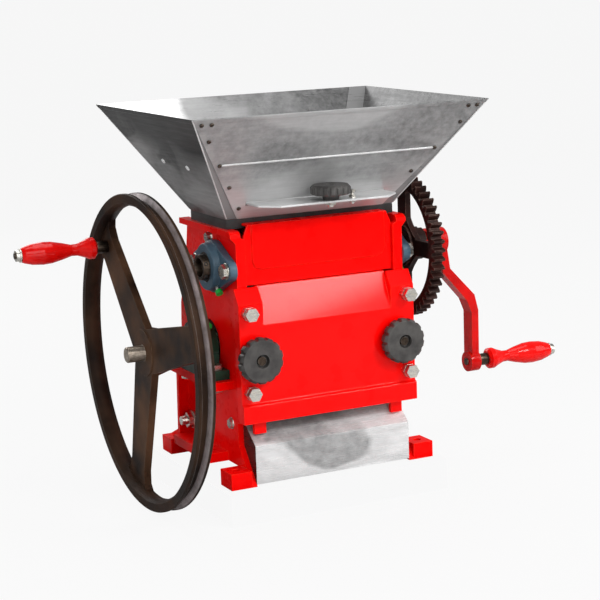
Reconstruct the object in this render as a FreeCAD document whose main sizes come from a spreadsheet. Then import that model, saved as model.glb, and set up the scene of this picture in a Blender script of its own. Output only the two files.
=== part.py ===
import FreeCAD, Part
import Sketcher
import math
import os
import re

# Coffee pulper: a drum between two cast side frames pulps cherries against a breast plate.
# Frame: +Z up, +X along both shafts towards the gears, -Y towards the front cover.
# Origin: on the floor, at the centre of the four foot bolts, straight below the drum shaft.

doc = FreeCAD.newDocument("coffee_pulper")
sheet = doc.addObject("Spreadsheet::Sheet", "sizes")

# A value that starts with "=" follows a size above it and keeps its clearance when that one changes.
SIZES = {
    # side frames
    "side_x": 144,
    "side_t": 9,
    "side_top": 396,
    "side_front": 117,
    "side_back_top": 70,
    "side_back_mid": 112,
    "lip_w": 8,
    "lip_t": 9,
    "lip_back": 86,
    "corner_r": 10,
    "flange_w": 16,
    "flange_t": 12,
    "leg_front": 97,
    "leg_back": 112,
    "fin_w": 18,
    "fin_t": 8,
    "foot_x": "=side_x + 34",
    "foot_front": 141.5,
    "foot_back": 143.5,
    "foot_len": 42,
    "foot_t": 26,
    "foot_hole_y": 121,
    "foot_hole_r": 6.5,
    "foot_hole_x": "=side_x + 17",
    "rib_bottom": 23,
    "rib_t": 15,
    "shelf_t": 13,
    "shelf_front": 88,
    "shelf_back": 104,
    "window_r": 41,
    # shafts
    "shaft_z": 202,
    "shaft_r": 15,
    "drum_shaft_r": 17.5,
    "stub_r": 12.5,
    "wheel_seat_r": 13,
    "run_gap": 0.05,
    "seat_gap": 0.3,
    # drum
    "drum_r": 98,
    "drum_len": "=side_x * 2 - 26",
    "sleeve_t": 2,
    "disc_t": 14,
    "disc_hub_r": 32,
    "disc_hub_len": 30,
    # gears
    "gear_module": 4.5,
    "gear_teeth": 50,
    "pinion_teeth": 13,
    "gear_face": 20,
    "pinion_face": 22,
    "gear_x": "=side_x + 32",
    "pinion_x": "=side_x + 34.5",
    "gear_lean": 19.8,
    "gear_backlash": 0.5,
    "web_t": 10,
    "gear_hub_r": 27,
    "gear_hub_len": 32,
    "gear_window_in": 37,
    "gear_window_out": 95,
    "spoke_half": 13,
    # bearings
    "ring_r": 23.4,
    "ring_land": 18,
    "ring_end_r": 20,
    "ring_w": 38,
    "block_h": 43,
    "block_len": 150,
    "block_t": 15,
    "block_w": 33,
    "block_r": 40,
    "block_bolt": 58,
    "flange_bolt": 58.5,
    "oval_r": 41,
    "oval_end_r": 16,
    "oval_t": 13,
    "boss_front_r": 36,
    "boss_len": 10.5,
    "upper_ring_x": "=side_x + 11",
    "nipple_r": 3,
    "nipple_len": 8,
    "bolt_r": 6,
    "small_bolt_r": 4,
    "nut_t": 8,
    "tin_nut_t": 5,
    "jam_nut_t": 9,
    "washer_t": 3,
    "tin_bolt_y": 20,
    "tin_bolt_z": "=side_top - 19",
    # flywheel
    "wheel_r": 250,
    "wheel_w": 27,
    "wheel_x": "=side_x + 98",
    "rim_face_r": "=wheel_r - 14",
    "rim_mid_r": "=wheel_r - 19",
    "groove_w": 17,
    "groove_floor": 8,
    "groove_d": 11,
    "spoke_t": 12,
    "spoke_inset": 13,
    "spoke_hub_w": 72,
    "spoke_rim_w": 54,
    "spoke_lead": 46,
    "hub_r": 40,
    "hub_len": 42,
    "pin_at": "=wheel_r - 42",
    "pin_r": 7,
    "grip_len": 124,
    "grip_gap": 20,
    "stub_out": 28,
    # feed shaft
    "roller_r": 32,
    "roller_core_r": 20,
    "roller_len": "=side_x * 2 - 32",
    "roller_fins": 6,
    # crank
    "crank_x": "=side_x + 78",
    "crank_hub_len": 36,
    "crank_hub_r": 22,
    "crank_t": 13,
    "crank_w": 27,
    "crank_len": 212,
    "crank_joggle": 60,
    "crank_eye_r": 17,
    "claw_w": 14,
    "claw_t": 6,
    # hopper
    "rim_w": "=side_x * 2 + 206",
    "rim_d": 402,
    "rim_z": "=side_top + 182",
    "mouth_w": "=side_x * 2 + 1",
    "mouth_d": 141,
    "collar_z": "=side_top + 15",
    "hopper_y": 17,
    "tin_t": 1.5,
    "tin_flange": 34,
    "tin_step": 18,
    "collar_t": 2,
    # gate
    "gate_z": "=side_top + 38",
    "gate_t": 3,
    "gate_w": "=side_x * 2 - 52",
    "gate_front": 174,
    "gate_back": 66,
    "gate_corner": 26,
    "slot_gap": 1.5,
    "runner_in": "=gate_w / 2 - 10",
    "runner_out": "=side_x + 11",
    "runner_t": 3,
    "runner_front": 92,
    "runner_back": 62,
    "gate_knob_r": 31,
    "gate_knob_t": 15,
    "gate_knob_y": 157,
    "gate_hub_len": 8,
    "gate_hub_r": 12,
    "stop_x": 38,
    "stop_y": 155,
    "stop_r": 3,
    "stop_len": 22,
    "stop_head_t": 4,
    "gate_knob_bore": 6,
    "gate_knob_flutes": 18,
    "gate_stud_out": 14,
    # front panel and covers
    "panel_x": "=side_x - 24",
    "panel_y": 106,
    "panel_t": 5,
    "panel_top": "=side_top + 8",
    "panel_bottom": 310,
    "pad_t": 3,
    "pad_bottom": 334,
    "pad_x": "=side_x - 29",
    "back_t": 3,
    "throat_t": 3,
    "throat_foot_y": 14,
    "throat_foot_z": 306,
    # breast cover
    "cover_x": "=side_x + 8",
    "cover_front": 136,
    "cover_top": 309,
    "cover_bottom": 100,
    "cover_wall": 9,
    "ear_w": 41,
    "ear_step": 286,
    "slope_foot": 252,
    "lip_top": 131,
    "lip_out": 5,
    "lug_w": 20,
    "lug_t": 8,
    "lug_h": 22,
    "cover_bolt_x": "=side_x - 6.5",
    "cover_bolt_top": 273,
    "cover_bolt_low": 149,
    "stud_out": 12,
    # breast plate and hand knobs
    "breast_gap": 5,
    "breast_t": 6,
    "breast_len": "=side_x * 2 - 34",
    "breast_up": 40,
    "breast_down": 42,
    "hand_x": "=side_x - 20",
    "hand_z": 200,
    "hand_r": 36,
    "hand_t": 16,
    "hand_gap": 3.5,
    "screw_r": 7,
    "seat_r": 12.5,
    "hand_hub_r": 16,
    "hand_hub_len": 2,
    "hand_bore": 11,
    "hand_flutes": 14,
    # discharge chute
    "chute_top_y": 66,
    "chute_top_z": 121,
    "chute_front": 140,
    "chute_bend_z": 64,
    "chute_bottom": 3,
    "chute_t": 2,
    "chute_bolt_y": 73,
    "chute_bolt_z": 88,
    # tie rod
    "tie_y": 86,
    "tie_z": 60,
    "tie_r": 7,
}

for row, (alias, value) in enumerate(SIZES.items(), start=1):
    sheet.set(f"A{row}", alias)
    sheet.set(f"B{row}", str(value))
    sheet.setAlias(f"B{row}", alias)
doc.recompute()


def mm(alias):
    return float(sheet.get(alias))


def ex(text):
    """Spell each sheet alias (a word with an underscore) with the sheet's name before it."""
    return re.sub(r"\b([a-z]+(?:_[a-z0-9]+)+)\b", r"sizes.\1", str(text))


def tie(obj, **sizes):
    for prop, text in sizes.items():
        obj.setExpression(prop, ex(text))
    return obj


def put(obj, x=0, y=0, z=0):
    for axis, text in zip("xyz", (x, y, z)):
        obj.setExpression(f".Placement.Base.{axis}", ex(text))
    return obj


TURNS = {
    "X": FreeCAD.Rotation(FreeCAD.Vector(0, 1, 0), 90),
    "Y": FreeCAD.Rotation(FreeCAD.Vector(1, 0, 0), -90),
    "Z": FreeCAD.Rotation(),
}


def box(name, size, low):
    obj = doc.addObject("Part::Box", name)
    tie(obj, Length=size[0], Width=size[1], Height=size[2])
    return put(obj, *low)


def rod(name, radius, length, start, along="X"):
    obj = doc.addObject("Part::Cylinder", name)
    obj.Placement = FreeCAD.Placement(FreeCAD.Vector(), TURNS[along])
    tie(obj, Radius=radius, Height=length)
    return put(obj, *start)


def cone(name, radius_1, radius_2, length, start, along="X"):
    obj = doc.addObject("Part::Cone", name)
    obj.Placement = FreeCAD.Placement(FreeCAD.Vector(), TURNS[along])
    tie(obj, Radius1=radius_1, Radius2=radius_2, Height=length)
    return put(obj, *start)


def hexagon(name, flat_r, length, start, along="X"):
    """A hexagonal prism, its size given by the radius of the circle through its corners."""
    obj = doc.addObject("Part::Prism", name)
    obj.Polygon = 6
    obj.Placement = FreeCAD.Placement(FreeCAD.Vector(), TURNS[along])
    tie(obj, Circumradius=flat_r, Height=length)
    return put(obj, *start)


def fuse(name, parts):
    obj = doc.addObject("Part::MultiFuse", name)
    obj.Shapes = parts
    obj.Refine = True
    return obj


def cut(name, base, tools):
    obj = doc.addObject("Part::Cut", name)
    obj.Base = base
    obj.Tool = tools[0] if len(tools) == 1 else fuse(name + "_tools", tools)
    obj.Refine = True
    return obj


def group(name, parts):
    obj = doc.addObject("Part::Compound", name)
    obj.Links = parts
    return obj


def mirror(name, source):
    """The same piece on the other side of the mid-plane x = 0."""
    obj = doc.addObject("Part::Mirroring", name)
    obj.Source = source
    obj.Normal = FreeCAD.Vector(1, 0, 0)
    return obj


def body_plane(body, role):
    return next(f for f in body.Origin.OriginFeatures if f.Role == role)


def outline(body, name, plane, points):
    """A closed polygon sketch; each corner is held to the sketch's origin by two bound sizes."""
    sketch = body.newObject("Sketcher::SketchObject", name)
    sketch.AttachmentSupport = [(body_plane(body, plane), "")]
    sketch.MapMode = "FlatFace"
    count = len(points)
    ring = [
        FreeCAD.Vector(100 * math.cos(k * math.tau / count), 100 * math.sin(k * math.tau / count), 0)
        for k in range(count)
    ]
    sketch.addGeometry([Part.LineSegment(ring[k], ring[(k + 1) % count]) for k in range(count)])
    for k in range(count):
        sketch.addConstraint(Sketcher.Constraint("Coincident", k, 2, (k + 1) % count, 1))
    for k, (across, up) in enumerate(points):
        for kind, text in (("DistanceX", across), ("DistanceY", up)):
            index = sketch.addConstraint(Sketcher.Constraint(kind, -1, 1, k, 1, 1.0))
            sketch.setExpression(f"Constraints[{index}]", ex(text))
    return sketch


def prism(name, plane, points, length, at=(0, 0, 0), middle=False):
    """A padded polygon. YZ_Plane pads along +X, XZ_Plane along -Y, XY_Plane along +Z."""
    body = doc.addObject("PartDesign::Body", name)
    sketch = outline(body, name + "_outline", plane, points)
    pad = body.newObject("PartDesign::Pad", name + "_pad")
    pad.Profile = sketch
    pad.setExpression("Length", ex(length))
    if middle:
        pad.Midplane = True
    body.Tip = pad
    return put(body, *at)


def turned(name, points, at=(0, 0, 0)):
    """A solid of revolution about the X axis; points are (distance along X, radius)."""
    body = doc.addObject("PartDesign::Body", name)
    sketch = outline(body, name + "_half", "XZ_Plane", points)
    spin = body.newObject("PartDesign::Revolution", name + "_turn")
    spin.Profile = sketch
    spin.ReferenceAxis = (sketch, ["H_Axis"])
    spin.Angle = 360
    body.Tip = spin
    return put(body, *at)


CENTRES = "(gear_module * (gear_teeth + pinion_teeth) / 2)"
FEED_Y = f"(-{CENTRES} * sin(gear_lean))"
FEED_Z = f"(shaft_z + {CENTRES} * cos(gear_lean))"
BLOCK_X = "((side_x + foot_x) / 2)"
SHELF_TOP = "(shaft_z - block_h)"
WHEEL_NEAR = "(-wheel_x - wheel_w)"
SPOKE_NEAR = f"({WHEEL_NEAR} + spoke_inset)"


def bolt(name, at, length, along, radius="bolt_r"):
    """A hexagon-headed bolt: at is the seat of its head, the shank runs along the given axis."""
    x, y, z = at
    head = f"({radius} * 1.9)"
    thick = f"({radius} * 1.3)"
    start = {"X": (f"{x} - {thick}", y, z), "Y": (x, f"{y} - {thick}", z), "Z": (x, y, f"{z} - {thick}")}
    cap = hexagon(name + "_head", head, thick, start[along], along)
    shank = rod(name + "_shank", radius, length, at, along)
    return fuse(name, [cap, shank])


def side_frame():
    """The cast side frame at x < 0: web, lip, front flange, bearing shelf, rib and two feet."""
    web = prism(
        "side_web",
        "YZ_Plane",
        [
            ("-side_front + corner_r", "side_top"),
            ("-side_front + corner_r * 0.5", "side_top - corner_r * 0.134"),
            ("-side_front + corner_r * 0.134", "side_top - corner_r * 0.5"),
            ("-side_front", "side_top - corner_r"),
            ("-side_front", "cover_bottom - 2"),
            ("-leg_front", "cover_bottom - 8"),
            ("-leg_front", "foot_t * 2.2"),
            ("-foot_front", "2"),
            ("-foot_front", "0"),
            ("-foot_front + foot_len", "0"),
            ("-foot_front + foot_len + 6", "rib_bottom"),
            ("foot_back - foot_len - 12", "rib_bottom"),
            ("foot_back - foot_len", "0"),
            ("foot_back", "0"),
            ("foot_back", "foot_t"),
            ("leg_back", "foot_t + 14"),
            ("leg_back - 6", f"{SHELF_TOP} - shelf_t"),
            ("side_back_mid + 3", "shaft_z - 20"),
            ("side_back_mid + 3", "shaft_z + 18"),
            ("side_back_mid", "shaft_z + 50"),
            ("side_back_top + 8", "side_top - 50"),
            ("side_back_top", "side_top - lip_t"),
            ("side_back_top", "side_top"),
        ],
        "side_t",
        ("-side_x", 0, 0),
    )
    lip_band = prism(
        "side_lip_band",
        "YZ_Plane",
        [
            ("lip_back", "side_top"),
            ("-side_front + corner_r", "side_top"),
            ("-side_front + corner_r * 0.5", "side_top - corner_r * 0.134"),
            ("-side_front + corner_r * 0.134", "side_top - corner_r * 0.5"),
            ("-side_front", "side_top - corner_r"),
            ("-side_front", "side_top - corner_r * 2"),
            ("-side_front + lip_t", "side_top - corner_r * 2"),
            ("-side_front + lip_t", "side_top - corner_r"),
            ("-side_front + corner_r", "side_top - lip_t"),
            ("lip_back", "side_top - lip_t"),
        ],
        "lip_w + side_t",
        ("-side_x - lip_w", 0, 0),
    )
    lip_taper = prism(
        "side_lip_taper",
        "XZ_Plane",
        [
            ("-lip_w - 1", "side_top - lip_t"),
            ("-lip_w - 1", "side_top - corner_r * 2 - 1"),
            ("0", "side_top - corner_r * 2 - 1"),
            ("0", "side_top - corner_r * 2 + 1"),
        ],
        "corner_r + 1",
        ("-side_x", "-side_front + corner_r", 0),
    )
    lip = cut("side_lip", lip_band, [lip_taper])
    flange = box(
        "side_flange",
        ("flange_w", "flange_t", "side_top - 30 - cover_bottom - 10"),
        ("-side_x", "-side_front", "cover_bottom + 10"),
    )
    flange_top = prism(
        "side_flange_top",
        "XZ_Plane",
        [
            ("0", "side_top - 31"),
            ("flange_w", "side_top - 31"),
            ("flange_w", "side_top - corner_r - 4"),
            ("side_t", "side_top - corner_r"),
            ("0", "side_top - corner_r"),
        ],
        "flange_t",
        ("-side_x", "-side_front + flange_t", 0),
    )
    shelf = box(
        "side_shelf",
        ("foot_x - side_x + side_t", "shelf_front + shelf_back", "shelf_t"),
        ("-foot_x", "-shelf_front", f"{SHELF_TOP} - shelf_t"),
    )
    leg = prism(
        "side_leg_fin",
        "YZ_Plane",
        [
            ("foot_back - foot_len + 6", "0"),
            ("foot_back", "0"),
            ("foot_back", "foot_t"),
            ("leg_back", "foot_t + 14"),
            ("leg_back - 6", f"{SHELF_TOP} - shelf_t / 2"),
            ("leg_back - 6 - fin_t", f"{SHELF_TOP} - shelf_t / 2"),
            ("leg_back - fin_t", "foot_t + 14"),
        ],
        "fin_w",
        ("-side_x - fin_w", 0, 0),
    )
    rib = box(
        "side_rib",
        ("foot_x - side_x + side_t", "foot_back - foot_len - 12 + leg_front - 43", "rib_t"),
        ("-foot_x", "-leg_front + 43", "rib_bottom"),
    )
    front_foot = box(
        "side_front_foot",
        ("foot_x - side_x + 1", "foot_len", "foot_t"),
        ("-foot_x", "-foot_front", "0"),
    )
    rear_foot = box(
        "side_rear_foot",
        ("foot_x - side_x + side_t", "foot_len - 4", "foot_t"),
        ("-foot_x", "foot_back - foot_len + 4", "0"),
    )
    whole = fuse(
        "side_casting",
        [web, lip, flange, flange_top, shelf, leg, rib, front_foot, rear_foot],
    )
    holes = [
        rod("side_window", "window_r", "side_t + 2", ("-side_x - 1", 0, "shaft_z")),
        rod("side_feed_hole", "ring_r + 4", "side_t + 2", ("-side_x - 1", FEED_Y, FEED_Z)),
        rod("side_tie_hole", "tie_r + run_gap", "side_t + 30", ("-side_x - 20", "tie_y", "tie_z")),
        rod(
            "side_chute_hole",
            "small_bolt_r + run_gap",
            "side_t + 2",
            ("-side_x - 1", "-chute_bolt_y", "chute_bolt_z"),
        ),
        rod(
            "side_hopper_hole",
            "small_bolt_r + run_gap",
            "side_t + 2",
            ("-side_x - 1", "-tin_bolt_y", "tin_bolt_z"),
        ),
        rod(
            "side_screw_notch",
            "screw_r + seat_gap",
            "flange_t + 2",
            ("-hand_x", "-side_front - 1", "hand_z"),
            "Y",
        ),
    ]
    for k, y in enumerate((f"{FEED_Y} - flange_bolt", f"{FEED_Y} + flange_bolt")):
        holes.append(
            rod(f"side_flange_hole_{k}", "bolt_r + run_gap", "side_t + 2", ("-side_x - 1", y, FEED_Z))
        )
    for k, y in enumerate(("-block_bolt", "block_bolt")):
        holes.append(
            rod(
                f"side_block_hole_{k}",
                "bolt_r + run_gap",
                "shelf_t + 2",
                (f"-{BLOCK_X}", y, f"{SHELF_TOP} - shelf_t - 1"),
                "Z",
            )
        )
    for k, y in enumerate(("-foot_hole_y", "foot_hole_y")):
        holes.append(
            rod(f"side_foot_hole_{k}", "foot_hole_r", "foot_t + 2", ("-foot_hole_x", y, "-1"), "Z")
        )
    for k, z in enumerate(("cover_bolt_top", "cover_bolt_low")):
        holes.append(
            rod(
                f"side_cover_hole_{k}",
                "bolt_r + run_gap",
                "flange_t + 14",
                ("-cover_bolt_x", "-side_front - 1", z),
                "Y",
            )
        )
    left = cut("side_frame_left", whole, holes)
    return [left, mirror("side_frame_right", left)]


def front_panel():
    """The bare front plate above the cover: a wall with a return at the top and a raised pad."""
    broad = "(side_x - flange_w - seat_gap)"
    wall = prism(
        "panel_wall",
        "XZ_Plane",
        [
            ("-panel_x", "panel_top"),
            (f"-{broad}", "side_top - corner_r"),
            (f"-{broad}", "panel_bottom"),
            (broad, "panel_bottom"),
            (broad, "side_top - corner_r"),
            ("panel_x", "panel_top"),
        ],
        "panel_t",
        (0, "-panel_y", 0),
    )
    top = box(
        "panel_return",
        ("panel_x * 2", "panel_y - hopper_y - mouth_d / 2 - seat_gap", "panel_t - 1"),
        ("-panel_x", "-panel_y", "panel_top - panel_t + 1"),
    )
    pad = prism(
        "panel_pad",
        "XZ_Plane",
        [
            ("-pad_x", "panel_top"),
            ("-pad_x", "pad_bottom + 14"),
            ("-pad_x + 4", "pad_bottom + 4"),
            ("-pad_x + 14", "pad_bottom"),
            ("pad_x - 14", "pad_bottom"),
            ("pad_x - 4", "pad_bottom + 4"),
            ("pad_x", "pad_bottom + 14"),
            ("pad_x", "panel_top"),
        ],
        "pad_t",
        (0, "-panel_y - panel_t", 0),
    )
    return [fuse("front_panel", [wall, top, pad])]


def back_cover():
    """The bent sheet behind the drum, from the hopper down to the pulp outlet."""
    inner = [
        ("side_back_top + 0.3", "side_top - lip_t - 1"),
        ("side_back_top + 8.3", "side_top - 50"),
        ("side_back_mid + 0.3", "shaft_z + 50"),
        ("side_back_mid + 3.3", "shaft_z + 18"),
        ("side_back_mid + 3.3", "shaft_z - 20"),
    ]
    outer = [(f"{y} + back_t", z) for y, z in reversed(inner)]
    sheet_body = prism("back_cover", "YZ_Plane", inner + outer, "side_x * 2", ("-side_x", 0, 0))
    slope = prism(
        "throat_plate",
        "YZ_Plane",
        [
            ("mouth_d / 2 - hopper_y - collar_t - 4", "side_top - 2"),
            ("throat_foot_y", "throat_foot_z"),
            ("throat_foot_y + throat_t", "throat_foot_z"),
            ("mouth_d / 2 - hopper_y - collar_t - 4 + throat_t", "side_top - 2"),
        ],
        "(side_x - side_t) * 2",
        ("-side_x + side_t", 0, 0),
    )
    return [sheet_body, slope]


def rectangle(body, name, low, high, z):
    """A rectangle at height z, from its low to its high corner, for a loft."""
    (x0, y0), (x1, y1) = low, high
    sketch = outline(body, name, "XY_Plane", [(x0, y0), (x1, y0), (x1, y1), (x0, y1)])
    sketch.setExpression(".AttachmentOffset.Base.z", ex(z))
    return sketch


def slanted(name, foot, head, foot_z="collar_z", head_z="rim_z"):
    """A flat sheet leaning outwards: a loft from a thin rectangle at its foot to one at its head."""
    body = doc.addObject("PartDesign::Body", name)
    low = rectangle(body, name + "_foot", *foot, foot_z)
    high = rectangle(body, name + "_head", *head, head_z)
    loft = body.newObject("PartDesign::AdditiveLoft", name + "_loft")
    loft.Profile = low
    loft.Sections = [high]
    loft.Ruled = True
    body.Tip = loft
    return put(body)


def hopper():
    """Four polished sheets; the side sheets have flanges behind the front and rear sheets."""
    slot = box(
        "hopper_slot",
        ("gate_w + slot_gap * 2", "gate_front", "gate_t + slot_gap * 2"),
        ("-gate_w / 2 - slot_gap", "-gate_front", "gate_z - slot_gap"),
    )
    pieces = []
    front_low, front_high = "(-hopper_y - mouth_d / 2)", "(-hopper_y - rim_d / 2)"
    rear_low, rear_high = "(-hopper_y + mouth_d / 2)", "(-hopper_y + rim_d / 2)"
    front = slanted(
        "hopper_front_blank",
        (("-mouth_w / 2 + tin_step", front_low), ("mouth_w / 2 - tin_step", f"{front_low} + tin_t")),
        (("-rim_w / 2 + 1", front_high), ("rim_w / 2 - 1", f"{front_high} + tin_t")),
    )
    pieces.append(cut("hopper_front", front, [slot]))
    pieces.append(
        slanted(
            "hopper_rear",
            (("-mouth_w / 2 + tin_step", f"{rear_low} - tin_t"), ("mouth_w / 2 - tin_step", rear_low)),
            (("-rim_w / 2 + 1", f"{rear_high} - tin_t"), ("rim_w / 2 - 1", rear_high)),
        )
    )
    wall = slanted(
        "hopper_side_wall",
        (("-mouth_w / 2", f"{front_low} + tin_t"), ("-mouth_w / 2 + tin_t", f"{rear_low} - tin_t")),
        (("-rim_w / 2", f"{front_high} + tin_t"), ("-rim_w / 2 + tin_t", f"{rear_high} - tin_t")),
    )
    front_flange = slanted(
        "hopper_side_front_flange",
        (
            ("-mouth_w / 2", f"{front_low} + tin_t"),
            ("-mouth_w / 2 + tin_flange", f"{front_low} + tin_t * 2"),
        ),
        (("-rim_w / 2", f"{front_high} + tin_t"), ("-rim_w / 2 + tin_flange", f"{front_high} + tin_t * 2")),
    )
    rear_flange = slanted(
        "hopper_side_rear_flange",
        (
            ("-mouth_w / 2", f"{rear_low} - tin_t * 2"),
            ("-mouth_w / 2 + tin_flange", f"{rear_low} - tin_t"),
        ),
        (("-rim_w / 2", f"{rear_high} - tin_t * 2"), ("-rim_w / 2 + tin_flange", f"{rear_high} - tin_t")),
    )
    side_blank = fuse("hopper_side_blank", [wall, front_flange, rear_flange])
    side_slot = box(
        "hopper_side_slot",
        ("gate_w + slot_gap * 2", "gate_front", "gate_t + slot_gap * 2"),
        ("-gate_w / 2 - slot_gap", "-gate_front", "gate_z - slot_gap"),
    )
    left = cut("hopper_left", side_blank, [side_slot])
    pieces += [left, mirror("hopper_right", left)]
    outer = box(
        "collar_outer",
        ("mouth_w", "mouth_d", "collar_z - side_top - seat_gap"),
        ("-mouth_w / 2", front_low, "side_top"),
    )
    inner = box(
        "collar_inner",
        ("mouth_w - collar_t * 2", "mouth_d - collar_t * 2", "collar_z - side_top + 2"),
        ("-mouth_w / 2 + collar_t", f"{front_low} + collar_t", "side_top - 1"),
    )
    pieces.append(cut("hopper_collar", outer, [inner]))
    return pieces


def gate():
    """The sliding feed gate, the stop bolt on it and the ledges that it slides on."""
    half = "gate_w / 2"
    blade = prism(
        "gate_blade",
        "XY_Plane",
        [
            (f"-{half}", "gate_back"),
            (f"-{half}", "-gate_front + gate_corner"),
            (f"-{half} + gate_corner", "-gate_front"),
            (f"{half} - gate_corner", "-gate_front"),
            (half, "-gate_front + gate_corner"),
            (half, "gate_back"),
        ],
        "gate_t",
        (0, 0, "gate_z"),
    )
    knob_hole = rod(
        "gate_knob_hole", "screw_r - 2 + run_gap", "gate_t + 2", (0, "-gate_knob_y", "gate_z - 1"), "Z"
    )
    stop_at = ("stop_x", "-stop_y")
    stop_hole = rod("gate_stop_hole", "stop_r + run_gap", "gate_t + 2", (*stop_at, "gate_z - 1"), "Z")
    stop = fuse(
        "gate_stop_bolt",
        [
            rod("gate_stop_shank", "stop_r", "stop_len", (*stop_at, "gate_z - 7"), "Z"),
            *(
                hexagon(f"gate_stop_{name}", "stop_r * 1.9", "stop_head_t", (*stop_at, low), "Z")
                for name, low in (
                    ("head", "gate_z + gate_t + stop_head_t * 2"),
                    ("collar", "gate_z + gate_t"),
                    ("nut", "gate_z - stop_head_t"),
                )
            ),
        ],
    )
    runner = box(
        "gate_runner_left",
        ("runner_out - runner_in", "runner_front + runner_back", "runner_t"),
        ("-runner_out", "-runner_front", "gate_z - runner_t"),
    )
    plate = cut("gate_plate", blade, [knob_hole, stop_hole])
    return [plate, stop, runner, mirror("gate_runner_right", runner)]


def fluted_knob(name):
    """A moulded knob along +Z from z = 0: a hub, then a scalloped grip with a deep centre hole."""
    grip = "hand" if name == "hand" else "gate_knob"
    radius, thick, bore = mm(f"{grip}_r"), mm(f"{grip}_t"), mm(f"{grip}_bore")
    flutes = int(mm(f"{grip}_flutes"))
    hub_r, hub_len = mm(f"{name}_hub_r"), mm(f"{name}_hub_len")
    top = hub_len + thick
    profile = [
        FreeCAD.Vector(x, 0, z)
        for x, z in (
            (0, 0),
            (hub_r, 0),
            (hub_r + 2, hub_len),
            (radius - 2, hub_len),
            (radius, hub_len + 2),
            (radius, top - 4),
            (radius - 4, top),
            (0, top),
        )
    ]
    blank = Part.Face(Part.makePolygon(profile + profile[:1])).revolve(
        FreeCAD.Vector(), FreeCAD.Vector(0, 0, 1), 360
    )
    scallop = radius * math.pi / flutes * 0.42
    cutters = []
    for k in range(flutes):
        angle = k * math.tau / flutes
        centre = FreeCAD.Vector(radius * math.cos(angle), radius * math.sin(angle), hub_len - 1)
        cutters.append(Part.makeCylinder(scallop, thick + 2, centre))
    cutters.append(Part.makeCylinder(bore, thick, FreeCAD.Vector(0, 0, hub_len + thick * 0.4)))
    return blank.cut(cutters)


def knobs():
    """Two hand knobs on the breast screws, and the gate's knob on its stud."""
    hand = fluted_knob("hand")
    hand = hand.cut(Part.makeCylinder(mm("screw_r") + mm("run_gap"), mm("hand_t") * 2))
    facing = FreeCAD.Rotation(FreeCAD.Vector(1, 0, 0), 90)
    pieces = []
    for side, name in ((-1, "left"), (1, "right")):
        knob = doc.addObject("Part::Feature", f"hand_knob_{name}")
        knob.Shape = hand
        base = FreeCAD.Vector(side * mm("hand_x"), -mm("cover_front") - mm("hand_gap"), mm("hand_z"))
        knob.Placement = FreeCAD.Placement(base, facing)
        pieces.append(knob)
    cap = fluted_knob("gate")
    cap = cap.cut(Part.makeCylinder(mm("screw_r") - 2 + mm("run_gap"), mm("gate_knob_t")))
    knob = doc.addObject("Part::Feature", "gate_knob")
    knob.Shape = cap
    base = FreeCAD.Vector(0, -mm("gate_knob_y"), mm("gate_z") + mm("gate_t") + mm("seat_gap"))
    knob.Placement = FreeCAD.Placement(base, FreeCAD.Rotation())
    pieces.append(knob)
    stud = rod(
        "gate_stud_shank",
        "screw_r - 2",
        "gate_hub_len + gate_t + gate_stud_out",
        (0, "-gate_knob_y", "gate_z - nut_t"),
        "Z",
    )
    nut = hexagon(
        "gate_stud_nut", "screw_r + 2", "tin_nut_t", (0, "-gate_knob_y", "gate_z - tin_nut_t"), "Z"
    )
    pieces.append(fuse("gate_knob_stud", [stud, nut]))
    return pieces


def breast_cover():
    """The cast front cover: a hollow-backed plate, two ears, a sloping top and a flared lower lip."""
    front, back = "-cover_front", "-side_front"
    centre = prism(
        "cover_centre",
        "YZ_Plane",
        [
            ("-side_front + 4", "cover_top"),
            (front, "slope_foot"),
            (front, "lip_top"),
            (f"{front} - lip_out", "lip_top - 3"),
            (f"{front} - lip_out", "cover_bottom"),
            (f"{front} - lip_out + cover_wall", "cover_bottom"),
            (f"{front} - lip_out + cover_wall", "lip_top - 8"),
            (f"{front} + cover_wall", "lip_top"),
            (f"{front} + cover_wall", "slope_foot - 2"),
            ("-side_front + 4 + cover_wall", "cover_top"),
        ],
        "(cover_x - ear_w) * 2 + 2",
        ("-cover_x + ear_w - 1", 0, 0),
    )
    ear = prism(
        "cover_ear",
        "YZ_Plane",
        [
            (back, "cover_top"),
            (f"{back} - 4", "cover_top"),
            (front, "ear_step"),
            (front, "lip_top"),
            (f"{front} - lip_out", "lip_top - 3"),
            (f"{front} - lip_out", "cover_bottom"),
            (back, "cover_bottom"),
        ],
        "ear_w",
        ("-cover_x", 0, 0),
    )
    right_ear = mirror("cover_right_ear", ear)
    lug = box(
        "cover_lug",
        ("lug_w", "lug_t", "lug_h"),
        ("-side_x + 14", "-side_front - 12", "cover_bottom + 2 - lug_h"),
    )
    whole = fuse("cover_casting", [centre, ear, right_ear, lug, mirror("cover_right_lug", lug)])
    holes = []
    for side in ("-", ""):
        for z in ("cover_bolt_top", "cover_bolt_low"):
            holes.append(
                rod(
                    "cover_hole",
                    "bolt_r + run_gap",
                    "cover_front",
                    (f"{side}cover_bolt_x", "-cover_front - 10", z),
                    "Y",
                )
            )
        holes.append(
            rod(
                "cover_screw_hole",
                "screw_r + run_gap",
                "cover_front / 2",
                (f"{side}hand_x", "-cover_front - 10", "hand_z"),
                "Y",
            )
        )
    return [cut("breast_cover", whole, holes)]


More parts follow.
